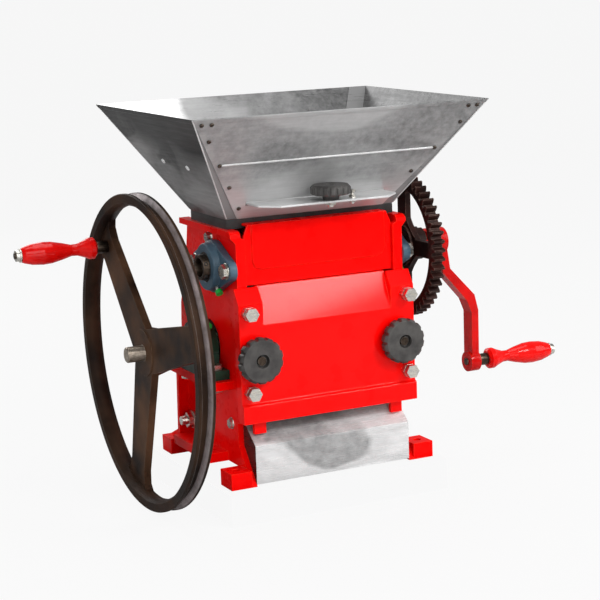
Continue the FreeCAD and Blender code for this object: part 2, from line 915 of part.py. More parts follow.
def breast_plate():
    """The curved plate that the drum squeezes cherries against, with a lug at each adjusting screw."""
    inner = mm("drum_r") + mm("breast_gap")
    outer = inner + mm("breast_t")
    length = mm("breast_len")
    middle = 180.0
    low, high = middle - mm("breast_up"), middle + mm("breast_down")
    axis = FreeCAD.Vector(0, 0, mm("shaft_z"))

    def on_arc(radius, degrees):
        angle = math.radians(degrees)
        return axis + FreeCAD.Vector(0, radius * math.cos(angle), radius * math.sin(angle))

    edges = [
        Part.Arc(on_arc(outer, low), on_arc(outer, middle), on_arc(outer, high)).toShape(),
        Part.LineSegment(on_arc(outer, high), on_arc(inner, high)).toShape(),
        Part.Arc(on_arc(inner, high), on_arc(inner, middle), on_arc(inner, low)).toShape(),
        Part.LineSegment(on_arc(inner, low), on_arc(outer, low)).toShape(),
    ]
    face = Part.Face(Part.Wire(edges))
    plate = face.extrude(FreeCAD.Vector(length, 0, 0))
    plate.translate(FreeCAD.Vector(-length / 2, 0, 0))
    for side in (-1, 1):
        seat_at = FreeCAD.Vector(side * (length / 2 - mm("seat_r") - 1), -outer - 2, mm("hand_z"))
        seat = Part.makeCylinder(mm("seat_r"), mm("breast_t") / 2 + 2, seat_at, FreeCAD.Vector(0, 1, 0))
        plate = plate.fuse(seat)
    plate = plate.removeSplitter()
    piece = doc.addObject("Part::Feature", "breast_plate")
    piece.Shape = plate
    screw = rod(
        "adjusting_screw_left",
        "screw_r",
        "cover_front + hand_gap + 14 - (drum_r + breast_gap + breast_t + 2)",
        ("-hand_x", "-cover_front - hand_gap - 14", "hand_z"),
        "Y",
    )
    return [piece, screw, mirror("adjusting_screw_right", screw)]


def chute():
    """The discharge chute: a sloping slide, a front skirt and two side plates bolted to the legs."""
    slide = prism(
        "chute_slide",
        "YZ_Plane",
        [
            ("-chute_top_y", "chute_top_z"),
            ("-chute_front", "chute_bend_z"),
            ("-chute_front", "chute_bottom"),
            ("-chute_front + chute_t", "chute_bottom"),
            ("-chute_front + chute_t", "chute_bend_z - 1"),
            ("-chute_top_y", "chute_top_z - chute_t * 1.3"),
        ],
        "(side_x - side_t) * 2",
        ("-side_x + side_t", 0, 0),
    )
    plate = prism(
        "chute_side",
        "YZ_Plane",
        [
            ("-chute_top_y", "chute_top_z"),
            ("-chute_front", "chute_bend_z"),
            ("-chute_front", "chute_bottom"),
            ("-chute_front + 30", "chute_bottom"),
            ("-chute_top_y", "chute_bend_z"),
        ],
        "chute_t",
        ("-side_x + side_t", 0, 0),
    )
    holes = [
        rod(f"chute_hole_{k}", "small_bolt_r + run_gap", "10", (x, "-chute_bolt_y", "chute_bolt_z"))
        for k, x in enumerate(("-side_x + side_t - 4", "side_x - side_t - 6"))
    ]
    whole = fuse("chute_sheet", [slide, plate, mirror("chute_right_side", plate)])
    bolts = []
    for k, (x, nut) in enumerate(
        (
            ("-side_x - tin_nut_t", "-side_x + side_t + chute_t"),
            ("side_x", "side_x - side_t - chute_t - tin_nut_t"),
        )
    ):
        shank_x = ("-side_x", "side_x - side_t - chute_t - 6")[k]
        at = ("-chute_bolt_y", "chute_bolt_z")
        bolts.append(hexagon(f"chute_bolt_head_{k}", "small_bolt_r * 2", "tin_nut_t", (x, *at)))
        bolts.append(
            rod(
                f"chute_bolt_shank_{k}",
                "small_bolt_r",
                "side_t + chute_t + 6",
                (shank_x, *at),
            )
        )
        bolts.append(hexagon(f"chute_bolt_nut_{k}", "small_bolt_r * 2", "tin_nut_t", (nut, *at)))
    left = fuse("chute_bolt_left", bolts[:3])
    right = fuse("chute_bolt_right", bolts[3:])
    return [cut("discharge_chute", whole, holes), group("chute_bolts", [left, right])]


def fastenings():
    """The tie rod and its nuts, the hopper bolts and the cover's long bolts with their nuts."""
    tie_rod = rod("tie_rod", "tie_r", "side_x * 2 + 44", ("-side_x - 22", "tie_y", "tie_z"))
    nuts = []
    for k, x in enumerate(("-side_x - washer_t - jam_nut_t", "side_x + washer_t")):
        washer_x = ("-side_x - washer_t", "side_x")[k]
        washer = rod(f"tie_washer_{k}", "tie_r * 2.2", "washer_t", (washer_x, "tie_y", "tie_z"))
        nut = hexagon(f"tie_nut_{k}", "tie_r * 1.9", "jam_nut_t", (x, "tie_y", "tie_z"))
        bore = rod(f"tie_bore_{k}", "tie_r + run_gap", "16", (f"{x} - 4", "tie_y", "tie_z"))
        nuts.append(cut(f"tie_nut_set_{k}", fuse(f"tie_nut_blank_{k}", [washer, nut]), [bore]))
    spots = []
    for k, x in enumerate(("-side_x", "side_x - side_t - 12")):
        head_x = ("-side_x - nut_t", "side_x")[k]
        inner_x = ("-side_x + side_t", "side_x - side_t - nut_t")[k]
        at = ("-tin_bolt_y", "tin_bolt_z")
        spots.append(
            fuse(
                f"hopper_bolt_{k}",
                [
                    rod(f"hopper_bolt_shank_{k}", "small_bolt_r", "side_t + 12", (x, *at)),
                    hexagon(f"hopper_bolt_head_{k}", "small_bolt_r * 1.9", "nut_t", (head_x, *at)),
                    hexagon(f"hopper_bolt_nut_{k}", "small_bolt_r * 1.9", "nut_t", (inner_x, *at)),
                ],
            )
        )
    long_bolts, jam_nuts = [], []
    for side in ("-", ""):
        for z in ("cover_bolt_top", "cover_bolt_low"):
            name = f"cover_bolt_{len(long_bolts)}"
            at = (f"{side}cover_bolt_x", "-cover_front - stud_out", z)
            long_bolts.append(bolt(name, at, "stud_out + cover_front - side_front + flange_t + 8", "Y"))
            k = len(jam_nuts)
            seat = (at[0], "-cover_front - jam_nut_t", z)
            nut = hexagon(f"cover_nut_blank_{k}", "bolt_r * 1.9", "jam_nut_t", seat, "Y")
            through = (at[0], "-cover_front - jam_nut_t - 2", z)
            bore = rod(f"cover_nut_bore_{k}", "bolt_r + run_gap", "jam_nut_t + 4", through, "Y")
            jam_nuts.append(cut(f"cover_nut_{k}", nut, [bore]))
    return [
        tie_rod,
        group("tie_nuts", nuts),
        group("hopper_bolts", spots),
        group("cover_bolts", long_bolts),
        group("cover_nuts", jam_nuts),
    ]


def pillow_block():
    """The lower bearing housing: a foot with two bolt pads and a round head around the ring."""
    foot = box(
        "block_foot",
        ("block_w", "block_len", "block_t"),
        (f"-{BLOCK_X} - block_w / 2", "-block_len / 2", SHELF_TOP),
    )
    head = rod("block_head", "block_r", "block_w - 3", (f"-{BLOCK_X} - block_w / 2 + 1.5", 0, "shaft_z"))
    cheek = prism(
        "block_cheek",
        "YZ_Plane",
        [
            ("-block_r - 6", f"{SHELF_TOP} + block_t - 1"),
            ("block_r + 6", f"{SHELF_TOP} + block_t - 1"),
            ("block_r - 3", "shaft_z"),
            ("-block_r + 3", "shaft_z"),
        ],
        "block_w - 6",
        (f"-{BLOCK_X} - block_w / 2 + 3", 0, 0),
    )
    bore = rod(
        "block_bore",
        "ring_r + run_gap",
        "block_w + 10",
        (f"-{BLOCK_X} - block_w / 2 - 5", 0, "shaft_z"),
    )
    holes = [
        rod(f"block_hole_{k}", "bolt_r + run_gap", "block_t + 4", (f"-{BLOCK_X}", y, f"{SHELF_TOP} - 2"), "Z")
        for k, y in enumerate(("-block_bolt", "block_bolt"))
    ]
    left = cut("lower_bearing_left", fuse("block_blank", [foot, head, cheek]), [bore] + holes)
    nut_z, head_z = f"{SHELF_TOP} - shelf_t - nut_t", f"{SHELF_TOP} + block_t"
    bolts = []
    for side in ("-", ""):
        for y in ("-block_bolt", "block_bolt"):
            k = len(bolts)
            at = (f"{side}{BLOCK_X}", y)
            shank = rod(
                f"block_bolt_shank_{k}", "bolt_r", "block_t + shelf_t + nut_t * 2", (*at, nut_z), "Z"
            )
            head = hexagon(f"block_bolt_head_{k}", "bolt_r * 1.9", "nut_t", (*at, head_z), "Z")
            nut = hexagon(f"block_bolt_nut_{k}", "bolt_r * 1.9", "nut_t", (*at, nut_z), "Z")
            bolts.append(fuse(f"block_bolt_{k}", [shank, head, nut]))
    return [left, mirror("lower_bearing_right", left), group("lower_bearing_bolts", bolts)]


def flange_bearing():
    """The upper bearing housing: an oval two-bolt flange with a stepped round boss."""
    front_x = "-side_x - oval_t"
    middle = rod("oval_middle", "oval_r", "oval_t", (front_x, FEED_Y, FEED_Z))
    ends = [
        rod(f"oval_end_{k}", "oval_end_r", "oval_t", (front_x, f"{FEED_Y} {sign} flange_bolt", FEED_Z))
        for k, sign in enumerate("-+")
    ]
    bar = prism(
        "oval_bar",
        "YZ_Plane",
        [
            (f"{FEED_Y} - flange_bolt - oval_end_r * 0.35", f"{FEED_Z} - oval_end_r * 0.93"),
            (f"{FEED_Y} - oval_r * 0.5", f"{FEED_Z} - oval_r * 0.86"),
            (f"{FEED_Y} + oval_r * 0.5", f"{FEED_Z} - oval_r * 0.86"),
            (f"{FEED_Y} + flange_bolt + oval_end_r * 0.35", f"{FEED_Z} - oval_end_r * 0.93"),
            (f"{FEED_Y} + flange_bolt + oval_end_r * 0.35", f"{FEED_Z} + oval_end_r * 0.93"),
            (f"{FEED_Y} + oval_r * 0.5", f"{FEED_Z} + oval_r * 0.86"),
            (f"{FEED_Y} - oval_r * 0.5", f"{FEED_Z} + oval_r * 0.86"),
            (f"{FEED_Y} - flange_bolt - oval_end_r * 0.35", f"{FEED_Z} + oval_end_r * 0.93"),
        ],
        "oval_t",
        (front_x, 0, 0),
    )
    boss_x = f"{front_x} - boss_len"
    boss = cone("oval_boss", "boss_front_r", "oval_r - 2", "boss_len + 1", (boss_x, FEED_Y, FEED_Z))
    through = (f"{boss_x} - 2", FEED_Y, FEED_Z)
    bore = rod("oval_bore", "ring_r + run_gap", "boss_len + oval_t + 4", through)
    holes = []
    for k, sign in enumerate("-+"):
        at = (f"{front_x} - 2", f"{FEED_Y} {sign} flange_bolt", FEED_Z)
        holes.append(rod(f"oval_hole_{k}", "bolt_r + run_gap", "oval_t + 4", at))
    left = cut("upper_bearing_left", fuse("oval_blank", [middle, bar, boss] + ends), [bore] + holes)
    bolts = []
    for side in (-1, 1):
        for sign in "-+":
            k = len(bolts)
            y = f"{FEED_Y} {sign} flange_bolt"
            head_x = f"{front_x} - nut_t" if side < 0 else "side_x + oval_t"
            shank_x = front_x if side < 0 else "side_x - side_t"
            bolts.append(
                fuse(
                    f"oval_bolt_{k}",
                    [
                        rod(f"oval_bolt_shank_{k}", "bolt_r", "oval_t + side_t", (shank_x, y, FEED_Z)),
                        hexagon(f"oval_bolt_head_{k}", "bolt_r * 1.9", "nut_t", (head_x, y, FEED_Z)),
                    ],
                )
            )
    return [left, mirror("upper_bearing_right", left), group("upper_bearing_bolts", bolts)]


def ring_profile(short_end, long_end):
    """Half section of a bearing's inner ring: a wide land with a collar each side of it."""
    return [
        (f"-{short_end}", "shaft_r + run_gap"),
        (long_end, "shaft_r + run_gap"),
        (long_end, "ring_end_r"),
        ("ring_land / 2", "ring_end_r"),
        ("ring_land / 2", "ring_r"),
        ("-ring_land / 2", "ring_r"),
        ("-ring_land / 2", "ring_end_r"),
        (f"-{short_end}", "ring_end_r"),
    ]


def bearing_rings():
    """The inner rings, which turn with the shafts."""
    short_end, long_end = "(ring_w / 2 - 3)", "(ring_w / 2 + 3)"
    lower = ("0", "shaft_z")
    upper = (FEED_Y, FEED_Z)
    return [
        turned("lower_ring_left", ring_profile(short_end, long_end), (f"-{BLOCK_X}", *lower)),
        turned("lower_ring_right", ring_profile(long_end, short_end), (BLOCK_X, *lower)),
        turned("upper_ring_left", ring_profile(long_end, short_end), ("-upper_ring_x", *upper)),
        turned("upper_ring_right", ring_profile(short_end, short_end), ("upper_ring_x", *upper)),
    ]


def drum():
    """The stepped shaft, the two end discs fixed to it, and the sheet sleeve round the discs."""
    wheel_seat = f"({WHEEL_NEAR} + spoke_inset - 2)"
    shaft = turned(
        "drum_shaft",
        [
            (f"{wheel_seat} - stub_out", "0"),
            (f"{wheel_seat} - stub_out", "stub_r - 1.5"),
            (f"{wheel_seat} - stub_out + 1.5", "stub_r"),
            (wheel_seat, "stub_r"),
            (wheel_seat, "wheel_seat_r"),
            (f"{wheel_seat} + hub_len + 2", "wheel_seat_r"),
            (f"{wheel_seat} + hub_len + 2", "shaft_r"),
            ("-side_x + side_t + 1", "shaft_r"),
            ("-side_x + side_t + 1", "drum_shaft_r"),
            ("side_x - side_t - 1", "drum_shaft_r"),
            ("side_x - side_t - 1", "shaft_r"),
            ("pinion_x - 0.2", "shaft_r"),
            ("pinion_x - 0.2", "wheel_seat_r"),
            ("pinion_x + pinion_face + 8", "wheel_seat_r"),
            ("pinion_x + pinion_face + 8", "0"),
        ],
        (0, 0, "shaft_z"),
    )
    sleeve = turned(
        "drum_sleeve",
        [
            ("-drum_len / 2", "drum_r - sleeve_t"),
            ("drum_len / 2", "drum_r - sleeve_t"),
            ("drum_len / 2", "drum_r"),
            ("-drum_len / 2", "drum_r"),
        ],
        (0, 0, "shaft_z"),
    )
    disc = turned(
        "drum_disc_left",
        [
            ("-drum_len / 2", "drum_shaft_r + run_gap"),
            ("-drum_len / 2 + disc_hub_len", "drum_shaft_r + run_gap"),
            ("-drum_len / 2 + disc_hub_len", "disc_hub_r"),
            ("-drum_len / 2 + disc_t", "disc_hub_r"),
            ("-drum_len / 2 + disc_t", "drum_r - sleeve_t - 12"),
            ("-drum_len / 2 + disc_hub_len", "drum_r - sleeve_t - 12"),
            ("-drum_len / 2 + disc_hub_len", "drum_r - sleeve_t - run_gap"),
            ("-drum_len / 2", "drum_r - sleeve_t - run_gap"),
        ],
        (0, 0, "shaft_z"),
    )
    return [shaft, sleeve, disc, mirror("drum_disc_right", disc)]


def flywheel():
    """The belt-grooved rim, the hub and three tapered spokes, one of them carrying the handle pin."""
    rim = turned(
        "wheel_rim",
        [
            (WHEEL_NEAR, "rim_face_r"),
            (f"{WHEEL_NEAR} + wheel_w * 0.3", "rim_mid_r"),
            (f"{WHEEL_NEAR} + wheel_w * 0.7", "rim_mid_r"),
            ("-wheel_x", "rim_face_r"),
            ("-wheel_x", "wheel_r - 1"),
            ("-wheel_x - 1", "wheel_r"),
            ("-wheel_x - wheel_w / 2 + groove_w / 2", "wheel_r"),
            ("-wheel_x - wheel_w / 2 + groove_floor / 2", "wheel_r - groove_d"),
            ("-wheel_x - wheel_w / 2 - groove_floor / 2", "wheel_r - groove_d"),
            ("-wheel_x - wheel_w / 2 - groove_w / 2", "wheel_r"),
            (f"{WHEEL_NEAR} + 1", "wheel_r"),
            (WHEEL_NEAR, "wheel_r - 1"),
        ],
        (0, 0, "shaft_z"),
    )
    hub = turned(
        "wheel_hub",
        [
            (f"{SPOKE_NEAR} - 2", "0"),
            (f"{SPOKE_NEAR} - 2", "hub_r - 3"),
            (f"{SPOKE_NEAR} + spoke_t", "hub_r"),
            (f"{SPOKE_NEAR} - 2 + hub_len", "hub_r - 8"),
            (f"{SPOKE_NEAR} - 2 + hub_len", "0"),
        ],
        (0, 0, "shaft_z"),
    )
    spokes = []
    for k in range(3):
        spoke = prism(
            f"wheel_spoke_{k}",
            "YZ_Plane",
            [
                ("0", "-spoke_hub_w / 2"),
                ("hub_r + 8", "-spoke_hub_w / 2 + 2"),
                ("rim_mid_r - 30", "-spoke_rim_w / 2"),
                ("rim_mid_r - 9", "-spoke_rim_w / 2 - 5"),
                ("rim_mid_r - 1", "-spoke_rim_w / 2 - 16"),
                ("rim_face_r - 1", "-spoke_rim_w / 2 - 19"),
                ("rim_face_r - 1", "spoke_rim_w / 2 + 19"),
                ("rim_mid_r - 1", "spoke_rim_w / 2 + 16"),
                ("rim_mid_r - 9", "spoke_rim_w / 2 + 5"),
                ("rim_mid_r - 30", "spoke_rim_w / 2"),
                ("hub_r + 8", "spoke_hub_w / 2 - 2"),
                ("0", "spoke_hub_w / 2"),
            ],
            "spoke_t",
            (SPOKE_NEAR, 0, "shaft_z"),
        )
        spoke.Placement.Rotation = FreeCAD.Rotation(FreeCAD.Vector(1, 0, 0), 120 * k)
        spoke.setExpression(".Placement.Rotation.Angle", ex(f"spoke_lead + 120 * {k}"))
        spokes.append(spoke)
    pin_y = "(pin_at * cos(spoke_lead))"
    pin_z = "(shaft_z + pin_at * sin(spoke_lead))"
    bores = [
        rod("wheel_bore", "wheel_seat_r + run_gap", "hub_len + 20", (f"{SPOKE_NEAR} - 10", 0, "shaft_z")),
        rod("wheel_pin_hole", "pin_r - 1 + run_gap", "spoke_t + 10", (f"{SPOKE_NEAR} - 5", pin_y, pin_z)),
    ]
    wheel = cut("flywheel", fuse("wheel_casting", [rim, hub] + spokes), bores)
    pin, nut, grip = crank_handle("flywheel", SPOKE_NEAR, "spoke_t", pin_y, pin_z, -1)
    return [wheel, pin, nut, grip]


GRIP_SHAPE = [(0.0, 13.0), (0.03, 17.5), (0.09, 17.5), (0.16, 13.5), (0.25, 9.6), (0.33, 9.2),
              (0.45, 13.4), (0.6, 17.4), (0.72, 18.2), (0.86, 16.6), (0.96, 13.2), (1.0, 11.0)]


def crank_handle(name, face_x, wall_t, y, z, way):
    """A shouldered pin with its end nut, and the turned grip that spins on it, pointing along way."""
    sign = "-" if way < 0 else "+"
    back = "+" if way < 0 else "-"

    def out(distance):
        return f"{face_x} {sign} ({distance})"

    pin = turned(
        f"{name}_pin",
        [
            (f"{face_x} {back} ({wall_t} + 2)", "0"),
            (f"{face_x} {back} ({wall_t} + 2)", "pin_r - 1"),
            (out("0"), "pin_r - 1"),
            (out("0"), "pin_r + 3"),
            (out("grip_gap - seat_gap"), "pin_r + 3"),
            (out("grip_gap - seat_gap"), "pin_r"),
            (out("grip_gap + grip_len + seat_gap"), "pin_r"),
            (out("grip_gap + grip_len + seat_gap"), "pin_r - 2"),
            (out("grip_gap + grip_len + 11"), "pin_r - 2"),
            (out("grip_gap + grip_len + 11"), "0"),
        ],
        (0, y, z),
    )
    nut = turned(
        f"{name}_pin_nut",
        [
            (out("grip_gap + grip_len + seat_gap"), "pin_r - 2 + run_gap"),
            (out("grip_gap + grip_len + seat_gap"), "pin_r + 4"),
            (out("grip_gap + grip_len + 3"), "pin_r + 4"),
            (out("grip_gap + grip_len + 3"), "pin_r + 2"),
            (out("grip_gap + grip_len + 9"), "pin_r + 2"),
            (out("grip_gap + grip_len + 9"), "pin_r - 2 + run_gap"),
        ],
        (0, y, z),
    )
    profile = [(out("grip_gap"), "pin_r + run_gap")]
    profile += [(out(f"grip_gap + grip_len * {share}"), str(radius)) for share, radius in GRIP_SHAPE]
    profile.append((out("grip_gap + grip_len"), "pin_r + run_gap"))
    grip = turned(f"{name}_grip", profile, (0, y, z))
    return pin, nut, grip


def toothed_disc(name, teeth, face, x, y, z, turn):
    """An involute spur gear blank about a line along X; turn is the angle of its first tooth."""
    module = mm("gear_module")
    pitch_r = module * teeth / 2
    tip_r, root_r = pitch_r + module * 0.97, pitch_r - module * 1.2
    base_r = pitch_r * math.cos(math.radians(20))

    def flank(radius):
        reach = max(radius, base_r)
        roll = math.acos(base_r / reach)
        return math.tan(roll) - roll

    half_pitch = math.pi / 2 / teeth - mm("gear_backlash") / 2 / pitch_r + flank(pitch_r)
    start_r = max(root_r, base_r)
    points = []
    for k in range(teeth):
        middle = turn + k * math.tau / teeth
        steps = [(root_r, half_pitch)] if root_r < base_r else []
        steps += [
            (start_r + (tip_r - start_r) * share, half_pitch - flank(start_r + (tip_r - start_r) * share))
            for share in (0, 0.5, 1)
        ]
        for radius, half in steps:
            points.append((radius, middle - half))
        for radius, half in reversed(steps):
            points.append((radius, middle + half))
    corners = [
        FreeCAD.Vector(0, radius * math.cos(angle), radius * math.sin(angle)) for radius, angle in points
    ]
    disc = Part.Face(Part.makePolygon(corners + corners[:1])).extrude(FreeCAD.Vector(face, 0, 0))
    obj = doc.addObject("Part::Feature", name)
    obj.Shape = disc
    obj.Placement = FreeCAD.Placement(FreeCAD.Vector(x, y, z), FreeCAD.Rotation())
    return obj


def gears():
    """The pinion on the drum shaft and the large windowed gear on the feed shaft, in mesh."""
    lean = math.radians(mm("gear_lean"))
    teeth, small = int(mm("gear_teeth")), int(mm("pinion_teeth"))
    reach = mm("gear_module") * (teeth + small) / 2
    feed_y, feed_z = -reach * math.sin(lean), mm("shaft_z") + reach * math.cos(lean)
    line = math.pi / 2 + lean
    pinion_blank = toothed_disc(
        "pinion_teeth_ring", small, mm("pinion_face"), mm("pinion_x"), 0, mm("shaft_z"), line
    )
    pinion = cut(
        "pinion",
        pinion_blank,
        [rod("pinion_bore", "wheel_seat_r + run_gap", "pinion_face + 4", ("pinion_x - 2", 0, "shaft_z"))],
    )
    facing = line + math.pi + math.pi / teeth
    ring = toothed_disc(
        "gear_teeth_ring", teeth, mm("gear_face"), mm("gear_x"), feed_y, feed_z, facing
    )
    recesses = [
        turned(
            "gear_recess",
            [
                ("gear_x - 1", "gear_hub_r + 6"),
                ("gear_x + (gear_face - web_t) * 0.7", "gear_hub_r + 8"),
                ("gear_x + (gear_face - web_t) * 0.7", "gear_window_out + 1"),
                ("gear_x - 1", "gear_window_out + 3"),
            ],
            (0, FEED_Y, FEED_Z),
        ),
        turned(
            "gear_front_recess",
            [
                ("gear_x + gear_face + 1", "gear_hub_r + 6"),
                ("gear_x + gear_face + 1", "gear_window_out + 3"),
                ("gear_x + gear_face - 3", "gear_window_out + 1"),
                ("gear_x + gear_face - 3", "gear_hub_r + 8"),
            ],
            (0, FEED_Y, FEED_Z),
        ),
    ]
    hub = rod("gear_hub", "gear_hub_r", "gear_hub_len", ("gear_x + 7", FEED_Y, FEED_Z))
    clear = rod("gear_hub_clear", "gear_hub_r + 7", "9", ("gear_x - 1", FEED_Y, FEED_Z))
    windows = []
    for k in range(4):
        window = prism(
            f"gear_window_{k}",
            "YZ_Plane",
            [
                ("spoke_half * 1.1 + 6", "gear_window_in - 2"),
                ("spoke_half", "gear_window_in + 8"),
                ("spoke_half", "gear_window_out * 0.9"),
                ("spoke_half + 6", "gear_window_out * 0.978"),
                ("gear_window_out * 0.5", "gear_window_out * 0.866"),
                ("gear_window_out * 0.707", "gear_window_out * 0.707"),
                ("gear_window_out * 0.866", "gear_window_out * 0.5"),
                ("gear_window_out * 0.978", "spoke_half + 6"),
                ("gear_window_out * 0.9", "spoke_half"),
                ("gear_window_in + 8", "spoke_half"),
                ("gear_window_in - 2", "spoke_half * 1.1 + 6"),
            ],
            "gear_face + 4",
            ("gear_x - 2", FEED_Y, FEED_Z),
        )
        window.Placement.Rotation = FreeCAD.Rotation(FreeCAD.Vector(1, 0, 0), 90 * k)
        window.setExpression(".Placement.Rotation.Angle", f"90 * {k}")
        windows.append(window)
    bore = rod("gear_bore", "stub_r + run_gap", "gear_hub_len + 20", ("gear_x - 4", FEED_Y, FEED_Z))
    claws = [
        box(
            f"gear_claw_gap_{k}",
            size,
            (
                "gear_x + 7 + gear_hub_len - claw_t",
                f"{FEED_Y} - ({size[1]}) / 2",
                f"{FEED_Z} - ({size[2]}) / 2",
            ),
        )
        for k, size in enumerate(
            (
                ("claw_t + 1", "gear_hub_r * 3", "claw_w"),
                ("claw_t + 1", "claw_w", "gear_hub_r * 3"),
            )
        )
    ]
    body = cut("gear_spider", ring, recesses + [clear] + windows)
    drive = cut("drive_gear", fuse("gear_blank", [body, hub]), [bore] + claws)
    return [pinion, drive]


def feed_roller():
    """The upper shaft and the finned roller that feeds the drum."""
    shaft = turned(
        "feed_shaft",
        [
            ("-side_x - oval_t - boss_len + 2", "0"),
            ("-side_x - oval_t - boss_len + 2", "shaft_r"),
            ("gear_x + 7 - 0.3", "shaft_r"),
            ("gear_x + 7 - 0.3", "stub_r"),
            ("crank_x + crank_hub_len", "stub_r"),
            ("crank_x + crank_hub_len", "0"),
        ],
        (0, FEED_Y, FEED_Z),
    )
    core = rod("roller_core", "roller_core_r", "roller_len", ("-roller_len / 2", FEED_Y, FEED_Z))
    fins = []
    count = int(mm("roller_fins"))
    for k in range(count):
        fin = prism(
            f"roller_fin_{k}",
            "YZ_Plane",
            [
                ("roller_core_r - 3", "-3"),
                ("roller_r", "-2"),
                ("roller_r", "2"),
                ("roller_core_r - 3", "3"),
            ],
            "roller_len",
            ("-roller_len / 2", FEED_Y, FEED_Z),
        )
        fin.Placement.Rotation = FreeCAD.Rotation(FreeCAD.Vector(1, 0, 0), 360 / count * k)
        fin.setExpression(".Placement.Rotation.Angle", ex(f"360 / roller_fins * {k}"))
        fins.append(fin)
    bore = rod("roller_bore", "shaft_r + run_gap", "roller_len + 4", ("-roller_len / 2 - 2", FEED_Y, FEED_Z))
    return [shaft, cut("feed_roller", fuse("roller_blank", [core] + fins), [bore])]


def crank():
    """The hand crank: a claw hub, a bar that steps outwards clear of the gear, and an eye for its pin."""
    inner, outer = "crank_x + crank_hub_len - crank_t", "crank_x + crank_hub_len"
    bar = prism(
        "crank_bar",
        "XZ_Plane",
        [
            (inner, "0"),
            (outer, "0"),
            (f"{outer} + 7", "-crank_w * 1.74"),
            (f"{outer} + crank_joggle - 7", "-crank_w * 3.55"),
            (f"{outer} + crank_joggle", "-crank_w * 4.55"),
            (f"{outer} + crank_joggle", "-crank_len"),
            (f"{inner} + crank_joggle", "-crank_len"),
            (f"{inner} + crank_joggle", "-crank_w * 4.66"),
            (f"{inner} + crank_joggle - 9", "-crank_w * 3.85"),
            (f"{inner} + 7", "-crank_w * 2"),
            (inner, "-crank_w * 0.9"),
        ],
        "crank_w",
        (0, f"{FEED_Y} + crank_w / 2", FEED_Z),
    )
    hub = rod("crank_hub", "crank_hub_r", "crank_hub_len", ("crank_x", FEED_Y, FEED_Z))
    claws = [
        box(
            f"crank_claw_{k}",
            size,
            ("crank_x - 5", f"{FEED_Y} - ({size[1]}) / 2", f"{FEED_Z} - ({size[2]}) / 2"),
        )
        for k, size in enumerate(
            (
                ("claw_t", "crank_hub_r * 1.9", "claw_w - 2"),
                ("claw_t", "claw_w - 2", "crank_hub_r * 1.9"),
            )
        )
    ]
    eye_z = f"({FEED_Z} - crank_len)"
    eye = rod("crank_eye", "crank_eye_r", "crank_t + 6", (f"{inner} + crank_joggle - 3", FEED_Y, eye_z))
    bores = [
        rod("crank_bore", "stub_r + run_gap", "crank_hub_len + 12", ("crank_x - 8", FEED_Y, FEED_Z)),
        rod(
            "crank_eye_hole",
            "pin_r - 1 + run_gap",
            "crank_t + 16",
            (f"{inner} + crank_joggle - 8", FEED_Y, eye_z),
        ),
    ]
    arm = cut("crank_arm", fuse("crank_blank", [bar, hub, eye] + claws), bores)
    face = f"({outer} + crank_joggle + 3)"
    return [arm, *crank_handle("crank", face, "(crank_t + 6)", FEED_Y, eye_z, 1)]


def grease_points():
    """A grease nipple and its cap on each housing, leaning forwards; the upper ones point down."""
    nipples, caps = [], []
    for side in (-1, 1):
        sign = "-" if side < 0 else ""
        for x, y, z, radius, lean in (
            (f"{sign}(side_x + oval_t + 3)", FEED_Y, FEED_Z, "(boss_front_r + 2.8)", 135),
            (f"{sign}{BLOCK_X}", "0", "shaft_z", "block_r", 45),
        ):
            k = len(nipples)
            turn = FreeCAD.Rotation(FreeCAD.Vector(1, 0, 0), lean)
            for made, name, size, length, start in (
                (nipples, "nipple", "nipple_r", "nipple_len", radius),
                (caps, "cap", "nipple_r * 1.9", "nipple_len * 0.8", f"({radius} + nipple_len)"),
            ):
                end = (x, f"{y} - {start} * sin({lean})", f"{z} + {start} * cos({lean})")
                piece = rod(f"{name}_{k}", size, length, end, "Z")
                piece.Placement.Rotation = turn
                made.append(piece)
    return [group("grease_nipples", nipples), group("grease_caps", caps)]


PIECES = [
    *side_frame(),
    *front_panel(),
    *back_cover(),
    *hopper(),
    *gate(),
    *knobs(),
    *breast_cover(),
    *breast_plate(),
    *chute(),
    *fastenings(),
    *pillow_block(),
    *flange_bearing(),
    *bearing_rings(),
    *drum(),
    *flywheel(),
    *gears(),
    *feed_roller(),
    *crank(),
    *grease_points(),
]
doc.recompute()

faults = [o.Name for o in doc.Objects if {"Invalid", "Error"} & set(o.State)]
faults += [p.Label for p in PIECES if p.Shape.isNull() or not p.Shape.isValid()]
if faults:
    raise SystemExit("objects that failed: " + ", ".join(faults))

os.makedirs("parts", exist_ok=True)
for piece in PIECES:
    piece.Shape.exportStep(f"parts/{piece.Label}.step")
    print(piece.Label, len(piece.Shape.Solids), "solids", round(piece.Shape.Volume), "mm3")
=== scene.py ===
# %% [markdown]
# # A hand pulper for coffee cherries
# The machine strips the skin from coffee cherries. Cherries fall from a sheet hopper, past a
# sliding gate and a finned feed roller, on to an embossed drum that drags them against a breast
# plate. The beans drop on the front chute and the skins leave at the back. Two cast side frames
# carry it all, with a grooved flywheel on the left and a gear pair and a crank on the right.
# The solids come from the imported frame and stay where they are. Here they get softened edges,
# painted, plated and cast finishes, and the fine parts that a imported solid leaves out: sheet
# screws, rivets, folds, hems, pressed beads, drum bumps, threads, washers, set screws and seals.

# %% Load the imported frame
import math

import bmesh
import bpy
from mathutils import Matrix, Vector


